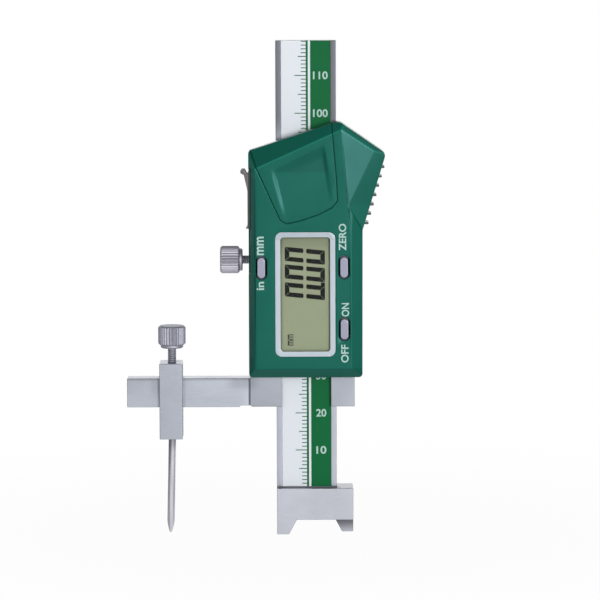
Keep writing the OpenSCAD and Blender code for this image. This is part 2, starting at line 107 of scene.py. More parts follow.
class NodeBuilder:
    """Adds nodes to one tree. Every node comes from `node`."""

    def __init__(self, tree: bpy.types.NodeTree) -> None:
        """Keeps the tree that the nodes go into."""
        self.tree = tree

    def socket(self, sockets: Sequence[bpy.types.NodeSocket],
               key: int | str) -> bpy.types.NodeSocket:
        """Finds a socket by its place, its identifier or its name.

        Args:
            sockets: a node's inputs or outputs.
            key: index, identifier or name.

        Returns:
            The socket.
        """
        if isinstance(key, int):
            return sockets[key]
        for found in sockets:
            if found.identifier == key:
                return found
        return sockets[key]

    def node(self, kind: str, settings: dict | None = None,
             inputs: dict | None = None) -> bpy.types.Node:
        """Adds a node.

        Args:
            kind: the node's type name.
            settings: its properties, set first.
            inputs: values, links or Numbers of its input sockets.

        Returns:
            The new node.
        """
        made = self.tree.nodes.new(kind)
        for key, value in (settings or {}).items():
            setattr(made, key, value)
        for key, value in (inputs or {}).items():
            target = self.socket(made.inputs, key)
            if isinstance(value, Number):
                value = value.socket
            if isinstance(value, bpy.types.NodeSocket):
                self.tree.links.new(value, target)
            else:
                target.default_value = value
        return made

    def rays(self) -> tuple["Number", ...]:
        """Whether a ray comes from the camera, a reflection or a clear piece, each 1 or 0."""
        path = self.node("ShaderNodeLightPath")
        return tuple(Number(self, path.outputs[f"Is {kind} Ray"])
                     for kind in ("Camera", "Glossy", "Transmission"))


class Number:
    """A number that varies over a surface. Arithmetic on it adds Math nodes."""

    def __init__(self, builder: NodeBuilder, socket: bpy.types.NodeSocket) -> None:
        """Wraps an output socket of the builder's tree."""
        self.builder = builder
        self.socket = socket

    def math(self, operation: str, *values: "Number | float") -> "Number":
        """The result of a Math node on the given values."""
        made = self.builder.node("ShaderNodeMath", {"operation": operation},
                                 dict(enumerate(values)))
        return Number(self.builder, made.outputs[0])

    def __add__(self, other: "Number | float") -> "Number":
        """Sum."""
        return self.math("ADD", self, other)

    def __radd__(self, other: float) -> "Number":
        """Sum, the other way round."""
        return self.math("ADD", other, self)

    def __sub__(self, other: "Number | float") -> "Number":
        """Difference."""
        return self.math("SUBTRACT", self, other)

    def __rsub__(self, other: float) -> "Number":
        """Difference, the other way round."""
        return self.math("SUBTRACT", other, self)

    def __mul__(self, other: "Number | float") -> "Number":
        """Product."""
        return self.math("MULTIPLY", self, other)

    def __truediv__(self, other: "Number | float") -> "Number":
        """Quotient."""
        return self.math("DIVIDE", self, other)

    def __mod__(self, other: float) -> "Number":
        """Remainder, never negative."""
        return self.math("FLOORED_MODULO", self, other)

    def __gt__(self, other: "Number | float") -> "Number":
        """1 where this is greater."""
        return self.math("GREATER_THAN", self, other)

    def __lt__(self, other: "Number | float") -> "Number":
        """1 where this is less."""
        return self.math("LESS_THAN", self, other)

    def __abs__(self) -> "Number":
        """Distance from zero."""
        return self.math("ABSOLUTE", self)

    def least(self, other: "Number | float") -> "Number":
        """The smaller of the two."""
        return self.math("MINIMUM", self, other)

    def most(self, other: "Number | float") -> "Number":
        """The greater of the two."""
        return self.math("MAXIMUM", self, other)

    def swing(self, amount: float) -> "Number":
        """How far noise is above or below its middle, times an amount."""
        return (self - 0.5) * amount

    def ramp(self, low: float, high: float) -> "Number":
        """A smooth rise from 0 at low to 1 at high."""
        made = self.builder.node(
            "ShaderNodeMapRange", {"interpolation_type": "SMOOTHSTEP"},
            {"Value": self, "From Min": low, "From Max": high})
        return Number(self.builder, made.outputs[0])


class Shader(NodeBuilder):
    """Builds one material from Object coordinates."""

    def __init__(self, name: str) -> None:
        """Starts an empty material of that name."""
        self.material = bpy.data.materials.new(name)
        self.material.use_nodes = True
        super().__init__(self.material.node_tree)
        self.tree.nodes.clear()
        self.coordinates = self.node("ShaderNodeTexCoord").outputs["Object"]

    def place(self) -> tuple[Number, Number, Number]:
        """Place on the gauge along X, Y and Z, in millimetres."""
        scaled = self.node("ShaderNodeVectorMath", {"operation": "SCALE"},
                           {0: self.coordinates, "Scale": 1 / MM})
        split = self.node("ShaderNodeSeparateXYZ", inputs={0: scaled.outputs[0]})
        return tuple(Number(self, out) for out in split.outputs)

    def noise(self, size: float, stretch: Point = (1, 1, 1), detail: float = 2.0) -> Number:
        """Smooth noise.

        Args:
            size: width of its features, in millimetres.
            stretch: scale per axis, below 1 for features that are longer that way.
            detail: number of finer layers.

        Returns:
            The noise, about 0.5 on average.
        """
        mapped = self.node("ShaderNodeMapping", inputs={
            "Vector": self.coordinates, "Scale": stretch})
        made = self.node("ShaderNodeTexNoise", inputs={
            "Vector": mapped.outputs[0], "Scale": 1 / (size * MM), "Detail": detail})
        return Number(self, made.outputs[0])

    def cells(self, size: float) -> Number:
        """Distance from the centres of scattered cells, each of that size in millimetres."""
        made = self.node("ShaderNodeTexVoronoi", inputs={
            "Vector": self.coordinates, "Scale": 1 / (size * MM)})
        return Number(self, made.outputs["Distance"])

    def mark(self, name: str = "edge") -> Number:
        """1 on the faces that the attribute of that name marks, 0 elsewhere."""
        made = self.node("ShaderNodeAttribute", {"attribute_name": name})
        return Number(self, made.outputs["Fac"])

    def mix(self, factor: Number, low: Sequence[float] | bpy.types.NodeSocket,
            high: Sequence[float] | bpy.types.NodeSocket) -> bpy.types.NodeSocket:
        """Colour between two colours or links."""
        made = self.node("ShaderNodeMix", {"data_type": "RGBA", "clamp_factor": True},
                         {"Factor_Float": factor, "A_Color": low, "B_Color": high})
        return self.socket(made.outputs, "Result_Color")

    def tinted(self, factor: Number, colour: Colour, low: float,
               high: float) -> bpy.types.NodeSocket:
        """A colour whose tone varies.

        Args:
            factor: where between the two tones a place lies, from 0 to 1.
            colour: the plain colour.
            low: its tone at 0, as a factor.
            high: its tone at 1.

        Returns:
            The link of the colour.
        """
        return self.mix(factor, toned(colour, low), toned(colour, high))

    def shaded(self, colour: bpy.types.NodeSocket, plain: Colour,
               shades: Sequence["Shade"]) -> bpy.types.NodeSocket:
        """Paints shade: darkens a surface inside each shade box.

        Args:
            colour: link of the surface's colour.
            plain: the finish's plain colour.
            shades: the shades.

        Returns:
            The link of the darkened colour.
        """
        for shade in shades:
            colour = self.mix(shade.share(self.place()), colour, toned(plain, SHADED))
        return colour

    def bump(self, height: Number, depth: float) -> bpy.types.NodeSocket:
        """Normal of a relief.

        Args:
            height: relief, from 0 to 1.
            depth: its depth, in millimetres.

        Returns:
            The link for a shader's Normal.
        """
        made = self.node("ShaderNodeBump", inputs={"Strength": 1.0, "Distance": depth * MM,
                                                   "Height": height})
        return made.outputs[0]

    def surface(self, inputs: dict) -> bpy.types.Material:
        """Ends the tree in a Principled shader with these inputs and returns the material."""
        shader = self.node("ShaderNodeBsdfPrincipled", inputs=inputs)
        self.node("ShaderNodeOutputMaterial", inputs={"Surface": shader.outputs[0]})
        return self.material


@dataclass(frozen=True)
class Finish:
    """A finish of the gauge, made into one material when it is first used."""

    name: str

    def make(self) -> bpy.types.Material:
        """Builds the material."""
        raise NotImplementedError

    def material(self) -> bpy.types.Material:
        """The finish's material, built once."""
        return bpy.data.materials.get(self.name) or self.make()


@dataclass(frozen=True)
class Shade:
    """Box in which a surface is painted darker, as painted shade where a neighbour, a recess or the
    way the light falls would darken it.

    Its corners and the widths of its soft borders along X, Y and Z are in millimetres.
    """

    low: Point
    high: Point
    soft: Point
    depth: float

    def share(self, place: Sequence[Number]) -> Number:
        """How dark it is at a place, from 0 outside the box to its depth inside."""
        inside = place[0] * 0 + self.depth
        for here, low, high, soft in zip(place, self.low, self.high, self.soft):
            inside = inside * here.ramp(low - soft, low) * (1 - here.ramp(high, high + soft))
        return inside


@dataclass(frozen=True)
class WorkedMetal(Finish):
    """Ground or turned metal: fine lines along its grain, soft blotches, brighter edges and painted
    shade in its shade boxes.
    """

    colour: Colour
    roughness: float = 0.4
    grain: Grain = Grain.ALONG_X
    line: float = 0.1
    contrast: float = 0.5
    depth: float = 0.002
    edge_light: float = 0.35
    fine_share: float = 0.35
    spread: float = 0.16
    blotch_size: float = 7.0
    shades: tuple[Shade, ...] = ()

    def make(self) -> bpy.types.Material:
        """Builds the metal."""
        shader = Shader(self.name)
        streak = shader.noise(self.line, self.grain.value, 3.0)
        fine = shader.noise(self.line * 0.35, self.grain.value, 1.0)
        blotch = shader.noise(self.blotch_size, detail=3.0)
        edge = shader.mark()
        lines = streak * (1 - self.fine_share) + fine * self.fine_share
        tone = (0.5 + lines.swing(2.2 * self.contrast) + blotch.swing(0.5)
                + edge * self.edge_light)
        colour = shader.tinted(tone, self.colour, 1 - self.spread, 1 + self.spread)
        # Painted shade inside each of the finish's shade boxes.
        colour = shader.shaded(colour, self.colour, self.shades)
        rough = self.roughness + lines.swing(0.25) + blotch.swing(0.12) - edge * 0.08
        return shader.surface({
            "Base Color": colour, "Metallic": 1.0, "Roughness": rough,
            "Normal": shader.bump(lines, self.depth)})


@dataclass(frozen=True)
class MouldedPlastic(Finish):
    """Moulded plastic: spark-eroded grain, slight flow mottling, edges rubbed smoother and lighter,
    a painted highlight on upward creases and painted shade along seams and in shade boxes.
    """

    colour: Colour
    roughness: float = 0.45
    grain: float = 0.16
    depth: float = 0.004
    specular: float = 0.35
    edge_light: float = 0.35
    wear_and_highlight_tone: float = 1.9
    seam_shade: float = 0.2
    seam_tone: float = 0.1
    coat: float = 0.0
    gloss_tint: Colour = (1.0, 1.0, 1.0)
    shades: tuple[Shade, ...] = ()

    def make(self) -> bpy.types.Material:
        """Builds the plastic."""
        shader = Shader(self.name)
        pits = shader.cells(self.grain)
        fine = shader.noise(self.grain * 0.6, detail=2.0)
        flow = shader.noise(5.0, (1.0, 1.0, 0.5), 3.0)
        edge = shader.mark()
        relief = pits * 0.5 + fine * 0.5
        tone = 0.5 + flow.swing(0.7) + relief.swing(0.35)
        colour = shader.tinted(tone, self.colour, 0.9, 1.14)
        # Marked edges lighter: rubbed wear where every rounded edge is marked, a painted highlight
        # where only upward-facing creases are.
        colour = shader.mix(edge * self.edge_light, colour, toned(self.colour, self.wear_and_highlight_tone))
        # Painted shade along the seam with the neighbouring part and on the scoop's wall that faces
        # away from the light.
        colour = shader.mix(shader.mark("seam") * self.seam_shade, colour,
                            toned(self.colour, self.seam_tone))
        colour = shader.shaded(colour, self.colour, self.shades)
        rough = self.roughness + flow.swing(0.14) + relief.swing(0.12) - edge * 0.08
        return shader.surface({
            "Base Color": colour, "Roughness": rough, "Specular IOR Level": self.specular,
            "Specular Tint": toned(self.gloss_tint, 1.0),
            "Coat Weight": self.coat, "Coat Roughness": 0.12,
            "Normal": shader.bump(relief, self.depth)})


@dataclass(frozen=True)
class PrintedScale(Finish):
    """Printed film on the beam: a white column with green graduations beside a green column.

    The white column and the white rule beside it have their borders along X, in millimetres. A
    graduation's reach is that of every one, then what each fifth and each tenth has more.
    """

    green: Colour
    white: Colour
    zero: float
    column: tuple[float, float] = (-6.6, 0.05)
    rule: tuple[float, float] = (0.6, 1.2)
    tick: float = 0.24
    reach: tuple[float, float, float] = (1.3, 0.8, 0.9)

    @staticmethod
    def off(height: Number, step: int) -> Number:
        """Distance from the graduation of that step, where one is within half a millimetre."""
        return abs(((height + 0.5) % step) - 0.5)

    def make(self) -> bpy.types.Material:
        """Builds the film; graduations stand every millimetre, longer every 5 and every 10."""
        shader = Shader(self.name)
        x, _, z = shader.place()
        height = z - self.zero
        every, fifth, tenth = self.reach
        reach = every + (self.off(height, 5) < 0.4) * fifth + (self.off(height, 10) < 0.4) * tenth
        on_line = self.off(height, 1) < self.tick / 2
        ticks = on_line * (x > self.column[1] - reach)
        column = (x > self.column[0]) * (x < self.column[1])
        rule = (x > self.rule[0]) * (x < self.rule[1])
        ink = column * (1 - ticks) + rule
        fibre = shader.noise(0.25, detail=3.0)
        wash = shader.noise(14.0, (1.0, 1.0, 0.4), 2.0)
        tone = 0.5 + fibre.swing(0.5) + wash.swing(0.8)
        ground = shader.tinted(tone, self.green, 0.88, 1.12)
        print_white = shader.tinted(tone, self.white, 0.96, 1.0)
        relief = ink * 0.6 + fibre * 0.25
        return shader.surface({
            "Base Color": shader.mix(ink, ground, print_white),
            "Roughness": 0.42 + fibre.swing(0.16) + ink * 0.06, "Specular IOR Level": 0.12,
            "Normal": shader.bump(relief, 0.004)})


@dataclass(frozen=True)
class DisplayGlass(Finish):
    """Liquid crystal glass: olive grey, darker along the rim where the bezel shades it.

    The bezel's opening has its centre and its half sizes along X and Z, in millimetres.
    """

    colour: Colour
    centre: tuple[float, float]
    half: tuple[float, float]
    rim_shade: float = 0.5
    left_shade: float = 0.18
    top_shade: float = 0.38
    top_reach: float = 6.0
    shaded_tone: float = 0.22

    def make(self) -> bpy.types.Material:
        """Builds the glass."""
        shader = Shader(self.name)
        x, _, z = shader.place()
        side = self.half[0] - abs(x - self.centre[0])
        end = self.half[1] - abs(z - self.centre[1])
        rim = 1 - side.least(end).ramp(-0.1, 0.75)
        left = 1 - (x - (self.centre[0] - self.half[0])).ramp(0.0, 0.9)
        top = 1 - (self.centre[1] + self.half[1] - z).ramp(0.0, self.top_reach)
        haze = shader.noise(0.12, detail=1.0)
        drift = shader.noise(11.0, detail=1.0)
        tone = 0.5 + haze.swing(0.3) + drift.swing(0.9)
        colour = shader.tinted(tone, self.colour, 0.93, 1.07)
        shade = rim * self.rim_shade + left * self.left_shade + top * self.top_shade
        return shader.surface({
            "Base Color": shader.mix(shade, colour, toned(self.colour, self.shaded_tone)),
            "Roughness": 0.3 + haze.swing(0.1), "Specular IOR Level": 0.25,
            "Normal": shader.bump(haze, 0.001)})


@dataclass(frozen=True)
class ClearPane(Finish):
    """Clear hard-coated pane: a faint tint, a few wipe marks and a glossy front."""

    tint: Colour = (0.3, 0.34, 0.3)
    thicker_tint: Colour = (0.4, 0.44, 0.4)

    def make(self) -> bpy.types.Material:
        """Builds the pane."""
        shader = Shader(self.name)
        wipe = shader.noise(0.6, (0.1, 1.0, 1.0), 2.0)
        film = shader.noise(6.0, detail=2.0)
        return shader.surface({
            "Base Color": shader.mix(film, toned(self.tint, 1.0), toned(self.thicker_tint, 1.0)),
            "Roughness": 0.06 + wipe * 0.05, "Alpha": 0.012 + film * 0.012,
            "Specular IOR Level": 0.5, "Normal": shader.bump(wipe, 0.0008)})


@dataclass(frozen=True)
class Ink(Finish):
    """Printed or liquid crystal ink: one dense colour with a slightly uneven film."""

    colour: Colour
    roughness: float = 0.5
    specular: float = 0.3

    def make(self) -> bpy.types.Material:
        """Builds the ink."""
        shader = Shader(self.name)
        film = shader.noise(0.35, detail=3.0)
        fine = shader.noise(0.05, detail=1.0)
        return shader.surface({
            "Base Color": shader.tinted(film, self.colour, 0.85, 1.1),
            "Roughness": self.roughness + fine.swing(0.15), "Specular IOR Level": self.specular,
            "Normal": shader.bump(fine, 0.001)})


@dataclass(frozen=True)
class CircuitLaminate(Finish):
    """Circuit board: solder mask over tracks that run along the board, with bare dots."""

    mask: Colour
    metal: Colour = (0.55, 0.42, 0.2)
    track: float = 0.9
    track_share: float = 0.28
    bend_reach: float = 4.0
    dot_pitch: float = 1.6
    dot_share: float = 0.17
    bare_row: float = 9.0
    covered_part: float = 1.5

    def make(self) -> bpy.types.Material:
        """Builds the laminate."""
        shader = Shader(self.name)
        x, _, z = shader.place()
        bend = shader.noise(6.0, (1.0, 1.0, 0.3), 0.0)
        off_track = abs(((x + bend * self.bend_reach) % self.track) - self.track / 2)
        lane = off_track < self.track * self.track_share
        dot = shader.cells(self.dot_pitch) < self.dot_share
        weave = shader.noise(0.2, (1.0, 1.0, 0.3), 1.0)
        base = shader.tinted(weave, self.mask, 0.85, 1.1)
        tracks = shader.mix(lane * 0.5, base, toned(self.mask, 2.2))
        bare = dot * (z % self.bare_row > self.covered_part)
        return shader.surface({
            "Base Color": shader.mix(bare, tracks, toned(self.metal, 1.0)),
            "Roughness": 0.38 + weave.swing(0.2), "Metallic": bare * 0.9,
            "Normal": shader.bump(lane * 0.6 + bare * 0.3, 0.01)})


@dataclass(frozen=True)
class ContactRubber(Finish):
    """Elastomer strip: thin carbon layers between clear ones."""

    pitch: float = 0.36
    clear: Colour = (0.5, 0.3, 0.33)
    carbon: Colour = (0.03, 0.03, 0.03)

    def make(self) -> bpy.types.Material:
        """Builds the striped rubber."""
        shader = Shader(self.name)
        z = shader.place()[2]
        layer = abs((z % self.pitch) - self.pitch / 2) < self.pitch * 0.25
        grain = shader.noise(0.1, detail=2.0)
        return shader.surface({
            "Base Color": shader.mix(layer, toned(self.clear, 1.0), toned(self.carbon, 1.0)),
            "Roughness": 0.7 + grain.swing(0.2), "Normal": shader.bump(grain, 0.004)})


@dataclass(frozen=True)
class StudioFloor(Finish):
    """White floor that keeps the contact shadow close to the gauge and is plain white further out.

    Reflections see a dark card lying at either side of the gauge. Distances are in millimetres.
    """

    near: float = 30.0
    far: float = 200.0
    white_share: float = 0.965
    card: tuple[float, float] = (60.0, 150.0)
    card_end: tuple[float, float] = (260.0, 420.0)
    card_depth: float = 0.8
    card_tone: Colour = (0.03, 0.03, 0.03)
    matte_tone: Colour = (0.82, 0.82, 0.82)

    def make(self) -> bpy.types.Material:
        """Builds the floor."""
        shader = Shader(self.name)
        x, y, _ = shader.place()
        square = x * x + y * y
        distance = square.math("SQRT", square)
        camera, glossy, through = shader.rays()
        plain = self.white_share + distance.ramp(self.near, self.far) * (1 - self.white_share)
        share = camera.most(through) * plain + glossy
        side = abs(x)
        card = glossy * side.ramp(*self.card) * (1 - side.ramp(*self.card_end)) * self.card_depth
        matte = shader.node("ShaderNodeBsdfDiffuse", inputs={
            "Color": toned(self.matte_tone, 1.0)})
        white = shader.node("ShaderNodeEmission", inputs={
            "Color": shader.mix(card, (1, 1, 1, 1), toned(self.card_tone, 1.0)), "Strength": 1.0})
        both = shader.node("ShaderNodeMixShader", inputs={
            0: share, 1: matte.outputs[0], 2: white.outputs[0]})
        shader.node("ShaderNodeOutputMaterial", inputs={"Surface": both.outputs[0]})
        return shader.material


# Painted shade on the steel pieces, where a recess, a neighbour or the way the light falls would
# darken them, and their finishes.
# Painted shade on the beam inside the foot's slot, and a painted darker reflection on its upper
# part.
BEAM_FOOT_END_PAINTED_SHADE = Shade((-9, -5, 0), (9, 5, 12.7), (0.1, 0.1, 0.1), 0.8)
BEAM_UPPER_PAINTED_SHADE = Shade((-9, -5, 112), (9, 5, 200), (1, 1, 12), 0.86)
# Painted shade in the foot's groove, on its set-back right pad, on its top face and over its right
# half.
FOOT_GROOVE_PAINTED_SHADE = Shade((-9, -3.3, 10.8), (9, -1.6, 12.6), (0.1, 0.1, 0.1), 0.95)
FOOT_RIGHT_PAD_PAINTED_SHADE = Shade((6, -0.3, 3.2), (30, 9, 3.9), (1, 0.2, 4.5), 0.97)
FOOT_TOP_PAINTED_SHADE = Shade((8.2, -4.15, 12.3), (30, 9, 13), (0.1, 0.1, 0.1), 0.26)
FOOT_RIGHT_HALF_PAINTED_SHADE = Shade((3, -9, 3), (30, 9, 12.2), (5, 1, 1), 0.1)
# Painted shade on the slider's body, along the arm's top edge, under the housing, beside the needle
# holder and towards the top of the arm's left end.
SLIDER_BODY_PAINTED_SHADE = Shade((-14.4, -9, 20), (40, 9, 120), (1.2, 1, 1), 0.31)
ARM_TOP_EDGE_PAINTED_SHADE = Shade((-90, -9, 41.5), (-15.5, -2.6, 43), (1, 0.3, 0.3), 0.35)
ARM_UNDER_HOUSING_PAINTED_SHADE = Shade((-18.5, -9, 40.5), (-15.5, -2.6, 43), (4, 0.3, 2.5), 0.28)
ARM_LEFT_OF_HOLDER_PAINTED_SHADE = Shade((-39.4, -9, 39.5), (-37, -2.6, 43), (3, 0.3, 4), 0.32)
ARM_RIGHT_OF_HOLDER_PAINTED_SHADE = Shade((-35, -9, 30), (-32.8, -2.6, 43), (1, 0.3, 1), 0.24)
ARM_LEFT_END_PAINTED_SHADE = Shade((-90, -9, 42), (-41, -2.6, 43), (1, 0.3, 7.5), 0.16)
BEAM_STEEL = WorkedMetal("ground beam steel", linear(151, 154, 163), 0.42, Grain.ALONG_Z,
                         shades=(BEAM_FOOT_END_PAINTED_SHADE, BEAM_UPPER_PAINTED_SHADE))
FOOT_STEEL = WorkedMetal("ground foot steel", linear(162, 164, 172), 0.42, Grain.ALONG_X,
                         shades=(FOOT_GROOVE_PAINTED_SHADE, FOOT_RIGHT_PAD_PAINTED_SHADE, FOOT_TOP_PAINTED_SHADE, FOOT_RIGHT_HALF_PAINTED_SHADE))
GROUND_STEEL = WorkedMetal("ground steel", linear(159, 161, 169), 0.42, Grain.ALONG_X)
HOLDER_STEEL = WorkedMetal("holder steel", linear(150, 154, 163), 0.42, Grain.ALONG_X)
SLIDER_STEEL = WorkedMetal("slider steel", linear(157, 161, 170), 0.42, Grain.ALONG_X,
                           shades=(SLIDER_BODY_PAINTED_SHADE, ARM_TOP_EDGE_PAINTED_SHADE, ARM_UNDER_HOUSING_PAINTED_SHADE, ARM_LEFT_OF_HOLDER_PAINTED_SHADE,
                                   ARM_RIGHT_OF_HOLDER_PAINTED_SHADE, ARM_LEFT_END_PAINTED_SHADE))
# Painted shade on the needle below its holder, and painted darker reflections along its left and
# right sides.
NEEDLE_BELOW_HOLDER_PAINTED_SHADE = Shade((-40, -9, 25.5), (-30, 9, 40), (1, 1, 4.5), 0.56)
NEEDLE_LEFT_SIDE_PAINTED_SHADE = Shade((-40, -9, -30), (-36.85, 9, 10), (0.3, 1, 7), 0.6)
NEEDLE_RIGHT_SIDE_PAINTED_SHADE = Shade((-35.75, -9, -30), (-30, 9, 10), (0.3, 1, 7), 0.3)
POLISHED_STEEL = WorkedMetal("polished needle steel", linear(198, 197, 206), 0.17, Grain.ROUND_Z,
                             line=0.06, contrast=0.2, depth=0.0004,
                             shades=(NEEDLE_BELOW_HOLDER_PAINTED_SHADE, NEEDLE_LEFT_SIDE_PAINTED_SHADE, NEEDLE_RIGHT_SIDE_PAINTED_SHADE))
# Painted shade on the lock screw's neck.
LOCK_SCREW_NECK_PAINTED_SHADE = Shade((-15.6, -1.6, 71.8), (-9, 1.6, 75), (0.2, 0.2, 0.2), 0.26)
PLATED_ACROSS = WorkedMetal("plated steel turned about X", linear(179, 177, 187), 0.56,
                            Grain.ROUND_X, contrast=0.35, shades=(LOCK_SCREW_NECK_PAINTED_SHADE,))
PLATED_UPRIGHT = WorkedMetal("plated steel turned about Z", linear(168, 169, 180), 0.62,
                             Grain.ROUND_Z, contrast=0.35)
# Finishes of the small metal pieces.
BLACK_STEEL = WorkedMetal("blackened steel", linear(62, 62, 66), 0.42, Grain.ROUND_Z, contrast=0.4)
BRONZE = WorkedMetal("bearing bronze", linear(196, 160, 96), 0.35, Grain.ALONG_Z)
CELL_STEEL = WorkedMetal("cell steel", linear(190, 190, 190), 0.28, Grain.ROUND_X, contrast=0.3)
# Painted shade on the plastic pieces, where a recess, a neighbour or the way the light falls would
# darken them, and their finishes.
# Painted shade on the housing's left and lower bevels, its top-left slope and its pale facets at
# the right shoulder.
HOUSING_LEFT_BEVEL_PAINTED_SHADE = Shade((-30, -12, 30), (-13.6, 12, 96), (1, 1, 0.4), 0.3)
HOUSING_LOWER_BEVEL_PAINTED_SHADE = Shade((-13, -12, 30), (30, 12, 45.2), (0.4, 1, 0.3), 0.3)
HOUSING_LEFT_SLOPE_PAINTED_SHADE = Shade((-30, -10.2, 98), (8.5, -7, 120), (1, 0.05, 1), 0.25)
HOUSING_PALE_FACET_PAINTED_SHADE = Shade((10.4, -10.2, 90), (30, -7, 120), (1, 0.1, 3), 0.16)
GREEN_PLASTIC = MouldedPlastic("green housing plastic", linear(18, 97, 81), 0.33, specular=0.28,
                               edge_light=0.6, gloss_tint=(0.4, 0.95, 1.0),
                               shades=(HOUSING_LEFT_BEVEL_PAINTED_SHADE, HOUSING_LOWER_BEVEL_PAINTED_SHADE, HOUSING_LEFT_SLOPE_PAINTED_SHADE,
                                       HOUSING_PALE_FACET_PAINTED_SHADE))
DARK_PLASTIC = MouldedPlastic("dark rear plastic", linear(76, 92, 89), 0.4, specular=0.3)
# Painted shade on the port cover beside the housing's wall.
PORT_COVER_RAIL_PAINTED_SHADE = Shade((-15.2, -12, 70), (-10, 0, 120), (0.15, 1, 1), 0.85)
GREY_COVER = MouldedPlastic("grey port cover", linear(110, 110, 113), 0.45,
                            shades=(PORT_COVER_RAIL_PAINTED_SHADE,))
# Painted shade on the parts of the keys that sit inside their holes.
KEY_SUNK_PART_PAINTED_SHADE = Shade((-30, -10.1, 0), (30, 9, 200), (1, 0.12, 1), 0.97)
KEY_GREY = MouldedPlastic("lilac grey key", linear(164, 165, 186), 0.36, grain=0.1, depth=0.002,
                          coat=0.3, shades=(KEY_SUNK_PART_PAINTED_SHADE,))
BLACK_PLASTIC = MouldedPlastic("black component plastic", linear(36, 36, 38), 0.5)
WHITE_PLASTIC = MouldedPlastic("white frame plastic", linear(214, 214, 208), 0.5)
# Painted shade along the top of the bezel.
BEZEL_TOP_PAINTED_SHADE = Shade((-20, -12, 79.7), (20, 0, 90), (1, 1, 0.3), 0.16)
SILVER_BEZEL = MouldedPlastic("silver bezel lacquer", linear(198, 211, 222), 0.3, grain=0.1,
                              depth=0.0015, coat=0.35, specular=0.5, shades=(BEZEL_TOP_PAINTED_SHADE,))
# Finishes of the boards, the display and the printed words.
SCALE_BOARD = CircuitLaminate("scale laminate", linear(30, 96, 62))
BOARD_GREEN = CircuitLaminate("board laminate", linear(22, 84, 52))
RUBBER = ContactRubber("contact rubber")
PANE = ClearPane("clear pane")
SEGMENT_INK = Ink("segment ink", linear(14, 16, 17), 0.6, 0.08)
LETTER_INK = Ink("letter ink", linear(188, 220, 213), 0.5)


def mesh_of(form: bmesh.types.BMesh, name: str) -> bpy.types.Mesh:
    """Turns a form into a mesh of that name and frees the form."""
    mesh = bpy.data.meshes.new(name)
    form.to_mesh(mesh)
    form.free()
    return mesh


def merged(meshes: Sequence[bpy.types.Mesh], name: str) -> bpy.types.Mesh:
    """Joins meshes into one of that name and removes them."""
    form = bmesh.new()
    for mesh in meshes:
        form.from_mesh(mesh)
        bpy.data.meshes.remove(mesh)
    return mesh_of(form, name)


def thickened(form: bmesh.types.BMesh, depth: float) -> None:
    """Gives flat faces a depth towards the back, in millimetres, and turns all faces outwards."""
    back = bmesh.ops.extrude_face_region(form, geom=form.faces[:])
    moved = [vert for vert in back["geom"] if isinstance(vert, bmesh.types.BMVert)]
    bmesh.ops.translate(form, verts=moved, vec=(0, depth * MM, 0))
    bmesh.ops.recalc_face_normals(form, faces=form.faces)


def piece_from(mesh: bpy.types.Mesh, name: str, finish: Finish) -> bpy.types.Object:
    """Links a mesh as a piece.

    Args:
        mesh: its mesh, in place.
        name: the piece's name.
        finish: its finish.

    Returns:
        The object, at the origin.
    """
    mesh.name = name
    mesh.materials.clear()
    mesh.materials.append(finish.material())
    made = bpy.data.objects.new(name, mesh)
    bpy.context.scene.collection.objects.link(made)
    return made


def baked(piece: bpy.types.Object) -> bpy.types.Object:
    """Replaces a piece's mesh by what its modifiers make of it, and removes them.

    Args:
        piece: a mesh object with modifiers.

    Returns:
        The same object, with a plain mesh.
    """
    view = bpy.context.evaluated_depsgraph_get()
    mesh = bpy.data.meshes.new_from_object(piece.evaluated_get(view), preserve_all_data_layers=True,
                                           depsgraph=view)
    piece.modifiers.clear()
    piece.data = mesh
    mesh.name = piece.name
    return piece


def evened(piece: bpy.types.Object) -> bpy.types.Object:
    """Weights a piece's normals by face size, so that flat faces stay flat between round edges."""
    normals = piece.modifiers.new("normals", "WEIGHTED_NORMAL")
    normals.keep_sharp = True
    normals.weight = 100
    return baked(piece)


def middle_of(side: bmesh.types.BMEdge) -> Vector:
    """Middle of an edge."""
    return (side.verts[0].co + side.verts[1].co) / 2


def turn_of(side: bmesh.types.BMEdge) -> float:
    """Angle by which the surface turns at an edge, in degrees."""
    return math.degrees(side.calc_face_angle(0.0))


def lines_of(sides: Sequence[bmesh.types.BMEdge]) -> list[tuple[Vector, Vector]]:
    """Both ends of each edge, as copies."""
    return [(side.verts[0].co.copy(), side.verts[1].co.copy()) for side in sides]


def in_the_open(form: bmesh.types.BMesh, sides: Sequence[bmesh.types.BMEdge],
                reach: float = 40.0) -> list[bmesh.types.BMEdge]:
    """Finds the edges that no other part of the solid faces.

    Args:
        form: the solid.
        sides: the edges to look at, with two faces each.
        reach: how far another part still counts, in millimetres.

    Returns:
        The edges that can be seen from outside.
    """
    tree = BVHTree.FromBMesh(form)
    clear = 0.01 * MM
    found = []
    for side in sides:
        out = (side.link_faces[0].normal + side.link_faces[1].normal).normalized()
        if tree.ray_cast(middle_of(side) + out * clear, out, reach * MM)[0] is None:
            found.append(side)
    return found


def beside(face: bmesh.types.BMFace, lines: Sequence[tuple[Vector, Vector]], reach: float) -> bool:
    """Whether a face's middle lies within reach of one of the lines, all in metres."""
    middle = face.calc_center_median()
    for start, end in lines:
        along = end - start
        share = min(1.0, max(0.0, (middle - start).dot(along) / along.length_squared))
        if (start + along * share - middle).length < reach:
            return True
    return False


